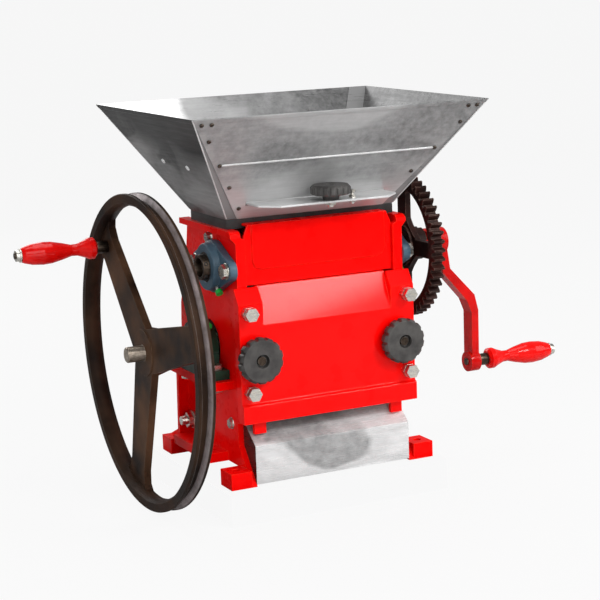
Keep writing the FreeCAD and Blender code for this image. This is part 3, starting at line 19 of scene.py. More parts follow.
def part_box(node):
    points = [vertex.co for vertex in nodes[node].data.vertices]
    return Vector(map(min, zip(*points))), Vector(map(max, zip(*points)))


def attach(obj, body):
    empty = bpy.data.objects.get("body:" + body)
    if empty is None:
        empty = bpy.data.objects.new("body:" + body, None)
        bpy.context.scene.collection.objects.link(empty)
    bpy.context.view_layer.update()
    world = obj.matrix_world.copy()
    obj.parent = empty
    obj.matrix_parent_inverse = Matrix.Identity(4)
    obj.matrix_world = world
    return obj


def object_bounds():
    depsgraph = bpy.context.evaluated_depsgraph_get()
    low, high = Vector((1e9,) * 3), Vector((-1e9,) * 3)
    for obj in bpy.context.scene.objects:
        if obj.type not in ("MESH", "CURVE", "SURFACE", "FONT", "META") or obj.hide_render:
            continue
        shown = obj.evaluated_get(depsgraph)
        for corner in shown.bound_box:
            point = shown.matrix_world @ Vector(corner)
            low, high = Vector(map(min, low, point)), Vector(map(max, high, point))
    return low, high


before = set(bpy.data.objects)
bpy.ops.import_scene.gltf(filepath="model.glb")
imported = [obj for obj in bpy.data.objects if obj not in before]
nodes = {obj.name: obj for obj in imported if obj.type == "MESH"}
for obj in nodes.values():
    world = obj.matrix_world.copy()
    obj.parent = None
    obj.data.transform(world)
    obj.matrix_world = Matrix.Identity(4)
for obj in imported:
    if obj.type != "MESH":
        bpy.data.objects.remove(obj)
cad_low, cad_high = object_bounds()
print("nodes", len(nodes), "box", [round(v, 3) for v in (*cad_low, *cad_high)])

MM = 0.001
# The middle of the drum shaft, and of the feed shaft above it, which leans forward of it
SHAFT = Vector((0, 0, 0.202))
FEED = Vector((0, -0.048016, 0.33537))


# %% [markdown]
# ## Shader groups
# Several finishes share the same effects: an edge mask, which gives worn metal on the castings
# and a painted highlight along the enamel's edges; the grain that sand leaves on a casting; and
# the clouds, patches and hairlines of thin polished sheet, where the clouds and patches are
# painted reflections. Each one is a node group with named inputs, built once, that puts out
# only masks and heights, so every material can place it with its own values.


# %% Helpers for node trees
def new_group(name, inputs, outputs):
    group = bpy.data.node_groups.new(name, "ShaderNodeTree")
    for label, value in inputs:
        socket = group.interface.new_socket(label, in_out="INPUT", socket_type="NodeSocketFloat")
        socket.default_value = value
    for label in outputs:
        group.interface.new_socket(label, in_out="OUTPUT", socket_type="NodeSocketFloat")
    return group, group.nodes.new("NodeGroupInput"), group.nodes.new("NodeGroupOutput")


def add(tree, kind, links=(), **values):
    """Adds a node, sets its properties, then joins or sets each (socket, source or value)."""
    node = tree.nodes.new(kind)
    for key, value in values.items():
        setattr(node, key, value)
    for socket, source in links:
        if isinstance(source, bpy.types.NodeSocket):
            tree.links.new(source, node.inputs[socket])
        else:
            node.inputs[socket].default_value = source
    return node


def calc(tree, operation, a, b=0.0):
    return add(tree, "ShaderNodeMath", [(0, a), (1, b)], operation=operation).outputs[0]


def noise(tree, vector, scale, detail=4.0, roughness=0.55, distortion=0.0):
    links = [
        ("Vector", vector),
        ("Scale", scale),
        ("Detail", detail),
        ("Roughness", roughness),
        ("Distortion", distortion),
    ]
    return add(tree, "ShaderNodeTexNoise", links).outputs["Fac"]


def spread(tree, value, low, high, to_low=0.0, to_high=1.0):
    """Stretches a value's range from low to high over another one, and stops at its ends."""
    links = [
        ("Value", value),
        ("From Min", low),
        ("From Max", high),
        ("To Min", to_low),
        ("To Max", to_high),
    ]
    return add(tree, "ShaderNodeMapRange", links, clamp=True).outputs["Result"]


def on_object(tree):
    """Where a point of the surface is, in metres."""
    return add(tree, "ShaderNodeTexCoord").outputs["Object"]


def axes(tree, vector):
    """The X, Y and Z of a vector."""
    return add(tree, "ShaderNodeSeparateXYZ", [(0, vector)]).outputs


def scaled(tree, vector, scale):
    return add(tree, "ShaderNodeMapping", [("Vector", vector), ("Scale", scale)]).outputs[0]


# %% Edge wear and painted edge highlight: where a rounded normal differs from the true one, an edge is near
edge_wear_and_highlight, start, end = new_group(
    "edge_wear_and_highlight", [("Radius", 0.002), ("Reach", 0.12), ("Break up", 90.0)], ["Mask"]
)
round_normal = add(
    edge_wear_and_highlight, "ShaderNodeBevel", [("Radius", start.outputs["Radius"])], samples=4
).outputs[0]
true_normal = add(edge_wear_and_highlight, "ShaderNodeNewGeometry").outputs["Normal"]
pair = [(0, round_normal), (1, true_normal)]
match = add(edge_wear_and_highlight, "ShaderNodeVectorMath", pair, operation="DOT_PRODUCT").outputs["Value"]
off = calc(edge_wear_and_highlight, "SUBTRACT", 1.0, match)
near = spread(edge_wear_and_highlight, calc(edge_wear_and_highlight, "DIVIDE", off, start.outputs["Reach"]), 0.0, 1.0)
edge_breakup = noise(edge_wear_and_highlight, on_object(edge_wear_and_highlight), start.outputs["Break up"], 5.0)
patchy = spread(edge_wear_and_highlight, edge_breakup, 0.36, 0.62)
edge_wear_and_highlight.links.new(calc(edge_wear_and_highlight, "MULTIPLY", near, patchy), end.inputs["Mask"])

# %% Sand grain: fine pimples over broad unevenness, as on a casting under its paint
sand_grain, start, end = new_group(
    "sand_grain",
    [("Grain scale", 900.0), ("Wave scale", 60.0), ("Wave share", 0.5)],
    ["Height", "Patches"],
)
where = on_object(sand_grain)
fine = noise(sand_grain, where, start.outputs["Grain scale"], 3.0, 0.6)
broad = noise(sand_grain, where, start.outputs["Wave scale"], 3.0)
fine_share = calc(sand_grain, "SUBTRACT", 1.0, start.outputs["Wave share"])
fine_part = calc(sand_grain, "MULTIPLY", fine, fine_share)
broad_part = calc(sand_grain, "MULTIPLY", broad, start.outputs["Wave share"])
sand_grain.links.new(calc(sand_grain, "ADD", fine_part, broad_part), end.inputs["Height"])
sand_grain.links.new(spread(sand_grain, broad, 0.35, 0.65), end.inputs["Patches"])

# %% Sheet sheen: soft-edged patches and a cloudy mottle as painted reflections, and hairline marks of thin polished sheet
SQUAT = (0.7, 0.7, 1.9)  # patches are wider than they are tall
STREAKY = (0.05, 0.05, 1.0)  # marks run along the sheet
sheet_sheen, start, end = new_group(
    "sheet_sheen",
    [("Patch scale", 6.0), ("Cloud scale", 60.0), ("Mark scale", 200.0)],
    ["Patches", "Clouds", "Marks", "Height"],
)
where = on_object(sheet_sheen)
squat = scaled(sheet_sheen, where, SQUAT)
lazy = noise(sheet_sheen, squat, start.outputs["Patch scale"], 1.5, 0.35, 0.9)
first, second = spread(sheet_sheen, lazy, 0.43, 0.48), spread(sheet_sheen, lazy, 0.53, 0.6)
two_steps = calc(sheet_sheen, "MULTIPLY", calc(sheet_sheen, "ADD", first, second), 0.5)
mottle = noise(sheet_sheen, where, start.outputs["Cloud scale"], 6.0, 0.68)
streaky = scaled(sheet_sheen, where, STREAKY)
marks = noise(sheet_sheen, streaky, start.outputs["Mark scale"], 4.0, 0.7)
dents = noise(sheet_sheen, where, 9.0, 1.0, 0.4)
height = calc(sheet_sheen, "ADD", dents, calc(sheet_sheen, "MULTIPLY", marks, 0.02))
sheet_sheen.links.new(two_steps, end.inputs["Patches"])
sheet_sheen.links.new(spread(sheet_sheen, mottle, 0.34, 0.66), end.inputs["Clouds"])
sheet_sheen.links.new(marks, end.inputs["Marks"])
sheet_sheen.links.new(height, end.inputs["Height"])
print("shader groups", [g.name for g in bpy.data.node_groups])

# %% [markdown]
# ## Materials
# Colours are written in the way that a screen shows them (sRGB) and turned into the linear
# values that Blender mixes. Each finish starts from one helper that lays a Principled shader,
# then adds its groups. Two more helpers lay an edge colour along edges, as wear on the metals
# and as a painted highlight on the enamel, and vary the roughness with a pattern.


# %% Colour and material helpers
def rgb(red, green, blue):
    """A screen colour, 0 to 255, as a linear one."""
    lin = []
    for part in (red, green, blue):
        c = part / 255
        lin.append(c / 12.92 if c <= 0.04045 else ((c + 0.055) / 1.055) ** 2.4)
    return (*lin, 1.0)


def grey(level):
    return rgb(level, level, level)


def new_finish(name, metallic=0.0, gloss=0.5, coat=0.0, coat_roughness=0.03):
    mat = bpy.data.materials.new(name)
    mat.use_nodes = True
    tree = mat.node_tree
    shader = tree.nodes["Principled BSDF"]
    shader.inputs["Metallic"].default_value = metallic
    shader.inputs["Specular IOR Level"].default_value = gloss
    shader.inputs["Coat Weight"].default_value = coat
    shader.inputs["Coat Roughness"].default_value = coat_roughness
    return mat, tree, shader


def place(tree, group, **values):
    """Puts a shader group into a material and gives back its outputs."""
    node = tree.nodes.new("ShaderNodeGroup")
    node.node_tree = group
    for key, value in values.items():
        node.inputs[key.replace("_", " ").capitalize()].default_value = value
    return node.outputs


def blend(tree, factor, first, second):
    links = [(0, factor), (6, first), (7, second)]
    return add(tree, "ShaderNodeMix", links, data_type="RGBA").outputs[2]


def bump(tree, shader, height, strength, distance):
    links = [("Height", height), ("Strength", strength), ("Distance", distance)]
    tree.links.new(add(tree, "ShaderNodeBump", links).outputs[0], shader.inputs["Normal"])


def wear_and_highlight_edges(tree, shader, colour, edge, share, radius, reach, break_up):
    """Colours the shader with an edge colour along its edges and gives back that edge share. On
    metal the edge colour is wear; on the enamel it is a painted highlight.
    """
    mask = place(tree, edge_wear_and_highlight, Radius=radius, Reach=reach, Break_up=break_up)["Mask"]
    edge_share = calc(tree, "MULTIPLY", mask, share)
    tree.links.new(blend(tree, edge_share, colour, edge), shader.inputs["Base Color"])
    return edge_share


def roughen(tree, shader, pattern, low, high, begin=0.0, finish=1.0):
    """Takes the roughness from low to high while a pattern goes from begin to finish."""
    tree.links.new(spread(tree, pattern, begin, finish, low, high), shader.inputs["Roughness"])


# %% [markdown]
# ### Red enamel
# Frames, covers and the crank are cast iron under a thick coat of gloss enamel. The coat is
# even but for the sand grain below it. Sharp edges carry a painted highlight, a light orange-red
# that stands in for the lamps' glints along them, and the crank's copy of the enamel is painted
# darker as shade. Enamel mirrors only a little, so the specular level is low and a weak clear
# coat carries the lamps' glare.


# %% Red enamel
def enamel(name, dark, light, coat):
    mat, tree, shader = new_finish(name, gloss=0.03, coat=coat, coat_roughness=0.1)
    grain = place(tree, sand_grain, Grain_scale=420.0, Wave_scale=26.0, Wave_share=0.8)
    paint = blend(tree, grain["Patches"], dark, light)
    # The light orange-red along the edges is a painted highlight, not thinned enamel.
    wear_and_highlight_edges(tree, shader, paint, rgb(255, 92, 62), 0.55, 0.0014, 0.16, 140.0)
    roughen(tree, shader, grain["Patches"], 0.26, 0.34)
    bump(tree, shader, grain["Height"], 0.22, 0.001)
    return mat


red_enamel = enamel("red_enamel", rgb(236, 3, 2), rgb(246, 5, 3), 0.09)
cover_enamel = enamel("cover_enamel", rgb(240, 3, 2), rgb(248, 5, 3), 0.2)
# The crank's darker red is painted shade on the same enamel as the frames.
shaded_crank_enamel = enamel("shaded_crank_enamel", rgb(176, 8, 7), rgb(204, 12, 10), 0.25)
print("enamels", [m.name for m in (red_enamel, cover_enamel, shaded_crank_enamel)])

# %% [markdown]
# ### Polished sheet
# Hopper, gate and chute are stainless sheet with a mill polish. Thin sheet is never quite flat,
# so what it mirrors breaks into patches with soft edges, over a fine mottle. The patches and the
# mottle are painted reflections in the colour, because a plain studio has nothing that would
# mirror like that, and soft dents bend the reflections. Each sheet's greys are painted light and
# shade for how it is lit: the left sheet is painted darkest, and the chute and the left part of
# the rear sheet lightest. A sheet's tone may also change slowly along one axis as painted light,
# its folded flanges that face sideways have painted greys of their own, and the chute's side
# faces carry painted shade.

# %% Values that all the sheets share
# The mottle is a painted reflection, blended towards a grey lighter than the sheet's lightest tone.
MOTTLE_LIGHTER, MOTTLE_MOST = 26, 250  # the mottle's grey: above the lightest tone, up to this
HAIR_GREY, HAIR_SHARE = 70, 0.12
# Painted shade for faces turned sideways, such as the chute's side walls.
SIDE_SHADE = rgb(46, 38, 36)


def sideways(tree):
    """How far a face looks to the left or the right, 0 to 1."""
    normal = add(tree, "ShaderNodeNewGeometry").outputs["Normal"]
    return calc(tree, "ABSOLUTE", axes(tree, normal)["X"])


# %% Polished sheet
def sheet_finish(
    name,
    tones,
    metallic,
    patch_scale,
    mottle,
    roughness,
    gloss=0.4,
    light_fade=None,
    folds=None,
    shaded_sides=False,
):
    """Sheet in three greys, dark to light, laid out as painted reflections. light_fade is an axis,
    where a slow painted change of light begins and ends on it, and the grey there; folds are the
    painted greys of its front and its rear flange, which face sideways; shaded_sides paints shade
    on faces turned sideways."""
    mat, tree, shader = new_finish(name, metallic=metallic, gloss=gloss)
    sheen = place(tree, sheet_sheen, Patch_scale=patch_scale, Cloud_scale=70.0, Mark_scale=210.0)
    ramp = add(tree, "ShaderNodeValToRGB", [("Fac", sheen["Patches"])])
    ramp.color_ramp.elements[0].color = grey(tones[0])
    ramp.color_ramp.elements[1].color = grey(tones[2])
    ramp.color_ramp.elements.new(0.5).color = grey(tones[1])
    cloud = calc(tree, "MULTIPLY", sheen["Clouds"], mottle)
    lightest = grey(min(tones[2] + MOTTLE_LIGHTER, MOTTLE_MOST))
    colour = blend(tree, cloud, ramp.outputs[0], lightest)
    if light_fade:
        axis, begin, finish, level = light_fade
        spot = on_object(tree)
        wander = calc(tree, "SUBTRACT", noise(tree, spot, 7.0, 1.0), 0.5)
        wander = calc(tree, "MULTIPLY", wander, 0.16)
        light_fade_at = calc(tree, "ADD", axes(tree, spot)[axis], wander)
        colour = blend(tree, spread(tree, light_fade_at, begin, finish), colour, grey(level))
    hair = spread(tree, sheen["Marks"], 0.4, 0.68, 0.0, HAIR_SHARE)
    colour = blend(tree, hair, colour, grey(HAIR_GREY))
    if shaded_sides:
        colour = blend(tree, spread(tree, sideways(tree), 0.55, 0.7), colour, SIDE_SHADE)
    if folds:
        rear = spread(tree, axes(tree, on_object(tree))["Y"], -0.02, 0.02)
        flange = blend(tree, rear, grey(folds[0]), grey(folds[1]))
        colour = blend(tree, spread(tree, sideways(tree), 0.5, 0.3), colour, flange)
    tree.links.new(colour, shader.inputs["Base Color"])
    roughen(tree, shader, sheen["Marks"], roughness, roughness + 0.12, 0.3, 0.7)
    bump(tree, shader, sheen["Height"], 0.4, 0.005)
    return mat


# %% One finish for each sheet, its greys painted for how it is lit: name, tones, metallic, patch scale, mottle, roughness
# The front sheet is painted lighter towards its foot, a painted fall of light.
polished_sheet = sheet_finish(
    "polished_sheet", (112, 138, 170), 0.32, 4.2, 0.34, 0.28, light_fade=("Z", 0.50, 0.43, 200)
)
# The left sheet's greys are painted shade and dark reflections, darkest near its rim, with painted
# greys on its flanges.
shaded_left_sheet = sheet_finish(
    "shaded_left_sheet",
    (20, 104, 132),
    0.14,
    7.0,
    0.2,
    0.34,
    gloss=0.2,
    light_fade=("Z", 0.5, 0.56, 5),
    folds=(132, 252),
)
# The rear sheet's inside is painted near white on its left part, a painted reflection.
inner_sheet = sheet_finish(
    "inner_sheet", (72, 104, 150), 0.3, 4.2, 0.3, 0.24, light_fade=("X", -0.07, -0.09, 252)
)
side_inner_sheet = sheet_finish(
    "side_inner_sheet", (40, 66, 130), 0.2, 8.0, 0.3, 0.24, folds=(132, 120)
)
# The chute is painted lightest, as it mirrors the white floor, with painted shade on its sides.
chute_sheet = sheet_finish(
    "chute_sheet", (142, 208, 244), 0.25, 5.6, 0.26, 0.22, shaded_sides=True
)
# The gate greys are lighter, a painted highlight on the gate's edge and on the beads and folds that
# use this finish.
gate_sheet = sheet_finish("gate_sheet", (176, 192, 214), 0.3, 9.0, 0.3, 0.3)
# The collar is painted dark as the shadow in the gap between the panel and the hopper.
collar_shadow_sheet = sheet_finish("collar_shadow_sheet", (40, 54, 66), 0.4, 9.0, 0.2, 0.34)
print("sheet finishes", [m.name for m in bpy.data.materials if m.name.endswith("_sheet")])

# %% [markdown]
# ### Dark iron, grey iron and bearing paint
# The flywheel and the gears are bare or thinly painted castings, dark brown from oil, and
# bright where the belt and the teeth rub. In the belt groove that brightness is partly the belt's
# polish and partly painted highlight streaks. The belt groove is found from the distance to the
# shaft's axis.


# %% Iron finishes: name, dark, light and edge colours, roughness, share of wear, gloss, waves
def iron(name, dark, light, edge, roughness, rub=0.9, gloss=0.32, wave=22.0):
    mat, tree, shader = new_finish(name, gloss=gloss)
    grain = place(tree, sand_grain, Grain_scale=620.0, Wave_scale=wave, Wave_share=0.5)
    skin = blend(tree, grain["Patches"], dark, light)
    bare = wear_and_highlight_edges(tree, shader, skin, edge, rub, 0.0022, 0.14, 120.0)
    tree.links.new(bare, shader.inputs["Metallic"])
    roughen(tree, shader, grain["Patches"], roughness, roughness + 0.16)
    bump(tree, shader, grain["Height"], 0.5, 0.001)
    return mat


grey_iron = iron("grey_iron", rgb(74, 73, 72), rgb(104, 102, 100), rgb(190, 188, 184), 0.38)
dark_gear = iron(
    "dark_gear", rgb(16, 7, 6), rgb(48, 24, 20), rgb(150, 124, 112), 0.4, 0.5, 0.1
)
bearing_paint = iron(
    "bearing_paint", rgb(44, 66, 82), rgb(70, 96, 112), rgb(150, 160, 166), 0.32, 0.4
)
shelf_green = iron(
    "shelf_green", rgb(8, 40, 28), rgb(14, 62, 44), rgb(96, 106, 100), 0.34, 0.3
)
wheel_iron = iron(
    "wheel_iron", rgb(24, 12, 6), rgb(92, 66, 48), rgb(128, 104, 84), 0.42, 0.45, 0.08, 11.0
)

# %% A groove polished by the belt, with painted highlight streaks, and a darker rim, on the flywheel's iron
GROOVE_FLOOR, GROOVE_MID_X, GROOVE_HALF = 0.2395, -0.2555, 0.0084
GROOVE_SOFT = 0.0006
RIM_FROM, RIM_TO, RIM_SHARE = 0.222, 0.232, 0.62
tree = wheel_iron.node_tree
shader = tree.nodes["Principled BSDF"]
spot = on_object(tree)
along = axes(tree, spot)
up = calc(tree, "SUBTRACT", along["Z"], SHAFT.z)
up_squared = calc(tree, "MULTIPLY", up, up)
forward_squared = calc(tree, "MULTIPLY", along["Y"], along["Y"])
reach = calc(tree, "SQRT", calc(tree, "ADD", up_squared, forward_squared))
beside = calc(tree, "ABSOLUTE", calc(tree, "SUBTRACT", along["X"], GROOVE_MID_X))
far_out = spread(tree, reach, GROOVE_FLOOR, GROOVE_FLOOR + 0.002)
between = spread(tree, beside, GROOVE_HALF + GROOVE_SOFT, GROOVE_HALF - GROOVE_SOFT)
in_groove = calc(tree, "MULTIPLY", far_out, between)
on_rim = spread(tree, reach, RIM_FROM, RIM_TO, 0.0, RIM_SHARE)
cast_tone = shader.inputs["Base Color"].links[0].from_socket
rim_tone = blend(tree, on_rim, cast_tone, rgb(24, 17, 14))
highlight_streaks = spread(tree, noise(tree, spot, 40.0, 4.0), 0.35, 0.65, 0.4, 0.9)
rubbed_and_lit = calc(tree, "MULTIPLY", in_groove, highlight_streaks)
tree.links.new(blend(tree, rubbed_and_lit, rim_tone, rgb(186, 176, 176)), shader.inputs["Base Color"])
edge_share = shader.inputs["Metallic"].links[0].from_socket
tree.links.new(calc(tree, "MAXIMUM", edge_share, rubbed_and_lit), shader.inputs["Metallic"])
print("groove mask from", GROOVE_FLOOR, "m out")

# %% [markdown]
# ### Steel, zinc, plastics and lacquer
# Shafts are turned, so fine rings run round them. Bolts are zinc plated, with a soft yellowish
# cast. Knobs are moulded plastic with a satin skin, and the handles are turned wood under red
# lacquer.


# %% Plain metals: name, cold and warm tones, least and most roughness, scale of the marks
def plated(name, cold, warm, low, high, mark_scale, metallic=1.0):
    mat, tree, shader = new_finish(name, metallic=metallic)
    sheen = place(
        tree, sheet_sheen, Patch_scale=60.0, Cloud_scale=160.0, Mark_scale=mark_scale
    )
    metal = blend(tree, sheen["Clouds"], cold, warm)
    wear_and_highlight_edges(tree, shader, metal, rgb(236, 236, 234), 0.5, 0.0008, 0.2, 260.0)
    roughen(tree, shader, sheen["Marks"], low, high, 0.3, 0.7)
    bump(tree, shader, sheen["Marks"], 0.25, 0.0002)
    return mat


turned_steel = plated(
    "turned_steel", rgb(132, 120, 108), rgb(182, 170, 156), 0.28, 0.44, 900.0
)
zinc = plated("zinc", rgb(190, 190, 188), rgb(226, 220, 206), 0.2, 0.36, 500.0)
drum_sheet = plated("drum_sheet", rgb(170, 170, 168), rgb(204, 204, 202), 0.24, 0.42, 300.0)
bright_dab = plated("bright_dab", grey(232), grey(250), 0.4, 0.5, 500.0, metallic=0.1)
dark_steel = plated("dark_steel", rgb(52, 44, 38), rgb(88, 76, 66), 0.3, 0.46, 700.0)


# %% Moulded and lacquered finishes: name, tones, roughness, grain scale, depth, coat, gloss
def moulded(name, dark, light, roughness, scale, depth, coat=0.0, gloss=0.4):
    mat, tree, shader = new_finish(name, gloss=gloss, coat=coat, coat_roughness=0.07)
    grain = place(tree, sand_grain, Grain_scale=scale, Wave_scale=60.0, Wave_share=0.3)
    skin = blend(tree, grain["Patches"], dark, light)
    wear_and_highlight_edges(tree, shader, skin, grey(150), 0.16, 0.001, 0.2, 180.0)
    roughen(tree, shader, grain["Patches"], roughness, roughness + 0.1)
    bump(tree, shader, grain["Height"], 0.3, depth)
    return mat


black_plastic = moulded(
    "black_plastic", rgb(50, 48, 47), rgb(72, 70, 68), 0.36, 1500.0, 0.0004
)
red_lacquer = moulded(
    "red_lacquer", rgb(216, 8, 6), rgb(230, 14, 9), 0.22, 300.0, 0.0003, 0.3, 0.08
)
green_plastic = moulded(
    "green_plastic", rgb(14, 138, 50), rgb(24, 170, 68), 0.3, 900.0, 0.0002
)
seal_rubber = moulded("seal_rubber", rgb(18, 16, 15), rgb(30, 27, 25), 0.5, 1200.0, 0.0003)

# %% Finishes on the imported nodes
RED_NODES = "side_frame_left side_frame_right front_panel back_cover".split()
RUNNER_NODES = "gate_runner_left gate_runner_right".split()
BOLT_NODES = (
    "chute_bolts tie_rod tie_nuts hopper_bolts cover_bolts cover_nuts lower_bearing_bolts "
    "upper_bearing_bolts grease_nipples flywheel_pin_nut crank_pin_nut gate_stop_bolt "
    "gate_knob_stud"
).split()
RING_NODES = "upper_ring_left upper_ring_right lower_ring_left lower_ring_right".split()
UPPER_HOUSINGS = "upper_bearing_left upper_bearing_right".split()
LOWER_HOUSINGS = "lower_bearing_left lower_bearing_right".split()
KNOB_NODES = "hand_knob_left hand_knob_right gate_knob".split()
ROLLING_NODES = "drum_disc_left drum_disc_right feed_roller breast_plate".split()
PIN_NODES = "flywheel_pin crank_pin adjusting_screw_left adjusting_screw_right".split()
FINISHES = {
    red_enamel: [*RED_NODES, "throat_plate"],
    cover_enamel: ["breast_cover"],
    shaded_crank_enamel: ["crank_arm"],
    polished_sheet: ["hopper_front"],
    shaded_left_sheet: ["hopper_left"],
    inner_sheet: ["hopper_rear"],
    side_inner_sheet: ["hopper_right"],
    chute_sheet: ["discharge_chute"],
    gate_sheet: ["gate_plate", *RUNNER_NODES],
    collar_shadow_sheet: ["hopper_collar"],
    wheel_iron: ["flywheel"],
    dark_gear: ["drive_gear", "pinion"],
    bearing_paint: UPPER_HOUSINGS,
    shelf_green: LOWER_HOUSINGS,
    grey_iron: ROLLING_NODES,
    dark_steel: RING_NODES + PIN_NODES,
    turned_steel: ["drum_shaft", "feed_shaft"],
    zinc: BOLT_NODES,
    black_plastic: KNOB_NODES,
    red_lacquer: ["flywheel_grip", "crank_grip"],
    green_plastic: ["grease_caps"],
    drum_sheet: ["drum_sleeve"],
}
finished = set()
for material, members in FINISHES.items():
    for name in members:
        mesh = nodes[name].data
        mesh.materials.clear()
        mesh.materials.append(material)
        finished.add(name)
print("finishes on", len(finished), "of", len(nodes), "nodes; bare:", sorted(set(nodes) - finished))

# %% [markdown]
# ## Softened edges
# A casting has no knife edge, and even a cut bar has a small one broken by the file. Each
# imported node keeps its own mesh. A Weld modifier joins its loose triangles and a Bevel rounds
# every edge that is sharper than the limit, with the width that its making would leave. The
# cover and the front panel have wide plain faces, which stay flat shaded.

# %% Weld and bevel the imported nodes
WELD_REACH = 0.02 * MM
SHARP = math.radians(34)


def soften(width, names, segments=2, flat=False):
    for name in names:
        if flat:
            for poly in nodes[name].data.polygons:
                poly.use_smooth = False
        weld = nodes[name].modifiers.new("Join triangles", "WELD")
        weld.merge_threshold = WELD_REACH
        bevel = nodes[name].modifiers.new("Round edges", "BEVEL")
        bevel.width = width
        bevel.segments = segments
        bevel.limit_method = "ANGLE"
        bevel.angle_limit = SHARP
        bevel.harden_normals = not flat
        bevel.loop_slide = not flat
    print("bevels of", round(width / MM, 2), "mm on", len(names), "nodes")


soften(3.4 * MM, RED_NODES[:2], 3)
soften(1.8 * MM, ["crank_arm"], 3)
soften(1.6 * MM, ["breast_cover"], 3, flat=True)
soften(1.4 * MM, ["front_panel"], 3, flat=True)
soften(0.4 * MM, ["back_cover", "hopper_collar", "throat_plate", *RUNNER_NODES])
soften(0.35 * MM, ["discharge_chute", "gate_plate"])
soften(2.0 * MM, ["flywheel"], 3)
soften(1.2 * MM, UPPER_HOUSINGS + LOWER_HOUSINGS)
soften(0.5 * MM, ["drive_gear", "pinion", "drum_shaft", "feed_shaft", *ROLLING_NODES])
soften(0.5 * MM, RING_NODES + PIN_NODES + BOLT_NODES)
soften(0.8 * MM, KNOB_NODES)

# %% [markdown]
# ## Fine parts made with Geometry Nodes
# Screws, bumps and threads repeat, so each kind has one node tree that makes a single shape and
# sets a copy on every seed point. A seed carries its facing as an attribute. The tree ends in
# Realize Instances and Set Material, and the result is kept as a plain mesh, one for each
# moving body.


# %% Helpers for geometry trees
def geometry_tree(name, inputs):
    tree = bpy.data.node_groups.new(name, "GeometryNodeTree")
    tree.is_modifier = True
    tree.interface.new_socket("Geometry", in_out="INPUT", socket_type="NodeSocketGeometry")
    for label, value in inputs:
        kind = "NodeSocketInt" if isinstance(value, int) else "NodeSocketFloat"
        tree.interface.new_socket(label, in_out="INPUT", socket_type=kind).default_value = value
    tree.interface.new_socket("Material", in_out="INPUT", socket_type="NodeSocketMaterial")
    tree.interface.new_socket("Geometry", in_out="OUTPUT", socket_type="NodeSocketGeometry")
    return tree, tree.nodes.new("NodeGroupInput"), tree.nodes.new("NodeGroupOutput")


def close_tree(tree, geometry, start, end):
    real = add(tree, "GeometryNodeRealizeInstances", [(0, geometry)])
    links = [("Geometry", real.outputs[0]), ("Material", start.outputs["Material"])]
    tree.links.new(add(tree, "GeometryNodeSetMaterial", links).outputs[0], end.inputs[0])


def turned_copies(tree, points, shape):
    """Sets the shape on each point, its Z axis along the point's facing attribute."""
    named = [("Name", "facing")]
    facing = add(tree, "GeometryNodeInputNamedAttribute", named, data_type="FLOAT_VECTOR")
    links = [("Vector", facing.outputs[0])]
    aligned = add(tree, "FunctionNodeAlignRotationToVector", links, axis="Z")
    links = [("Points", points), ("Instance", shape), ("Rotation", aligned.outputs[0])]
    return add(tree, "GeometryNodeInstanceOnPoints", links).outputs[0]


def keep_piece(obj, body, material=None):
    """Links a finished mesh object, gives it its body and, when one is given, its material, and
    prints its size.
    """
    if material is not None:
        obj.data.materials.append(material)
    bpy.context.scene.collection.objects.link(obj)
    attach(obj, body)
    print(obj.name, "faces", len(obj.data.polygons), "on", body)


def grow(name, tree, seeds, values, material, body):
    """Runs a tree on seed points (position, facing), given in metres, and keeps a plain mesh."""
    mesh = bpy.data.meshes.new(name + "_seeds")
    mesh.from_pydata([tuple(spot) for spot, _ in seeds], [], [])
    attribute = mesh.attributes.new("facing", "FLOAT_VECTOR", "POINT")
    for k, (_, facing) in enumerate(seeds):
        attribute.data[k].vector = facing
    host = bpy.data.objects.new(name + "_seeds", mesh)
    bpy.context.scene.collection.objects.link(host)
    modifier = host.modifiers.new("Grow", "NODES")
    modifier.node_group = tree
    for item in tree.interface.items_tree:
        if item.in_out == "INPUT" and item.name in values:
            modifier[item.identifier] = values[item.name]
        elif item.in_out == "INPUT" and item.name == "Material":
            modifier[item.identifier] = material
    bpy.context.view_layer.update()
    evaluated = host.evaluated_get(bpy.context.evaluated_depsgraph_get())
    made = bpy.data.meshes.new_from_object(evaluated)
    host.modifiers.remove(modifier)
    bpy.data.objects.remove(host)
    made.name = name
    for poly in made.polygons:
        poly.use_smooth = False
    keep_piece(bpy.data.objects.new(name, made), body)


# %% [markdown]
# ### Screws
# A head is a short cylinder whose top face is extruded and scaled a few times: a rounded
# shoulder, a flat, and a socket or none. Extruding keeps it one closed mesh, where joined
# primitives would overlap.

# %% A tree for screw heads
screw_head, start, end = geometry_tree(
    "screw_head",
    [("Sides", 12), ("Radius", 0.004), ("Height", 0.002), ("Crown", 0.72), ("Socket", 0.0)],
)
shank = add(
    screw_head,
    "GeometryNodeMeshCylinder",
    [
        ("Vertices", start.outputs["Sides"]),
        ("Radius", start.outputs["Radius"]),
        ("Depth", start.outputs["Height"]),
    ],
    fill_type="NGON",
)
head, top = shank.outputs["Mesh"], shank.outputs["Top"]
low_crown = calc(screw_head, "POWER", start.outputs["Crown"], 0.4)
shoulder = calc(screw_head, "MULTIPLY", start.outputs["Height"], 0.35)
downwards = calc(screw_head, "MULTIPLY", start.outputs["Socket"], -1.0)
sink = calc(screw_head, "MULTIPLY", start.outputs["Height"], downwards)
for rise, scale in (
    (shoulder, low_crown),
    (calc(screw_head, "MULTIPLY", shoulder, 0.6), start.outputs["Crown"]),
    (0.00004, 0.62),
    (sink, 0.9),
):
    links = [("Mesh", head), ("Selection", top), ("Offset Scale", rise), ("Individual", False)]
    raised = add(screw_head, "GeometryNodeExtrudeMesh", links, mode="FACES").outputs
    links = [("Geometry", raised["Mesh"]), ("Selection", raised["Top"]), ("Scale", scale)]
    head = add(screw_head, "GeometryNodeScaleElements", links).outputs[0]
    top = raised["Top"]
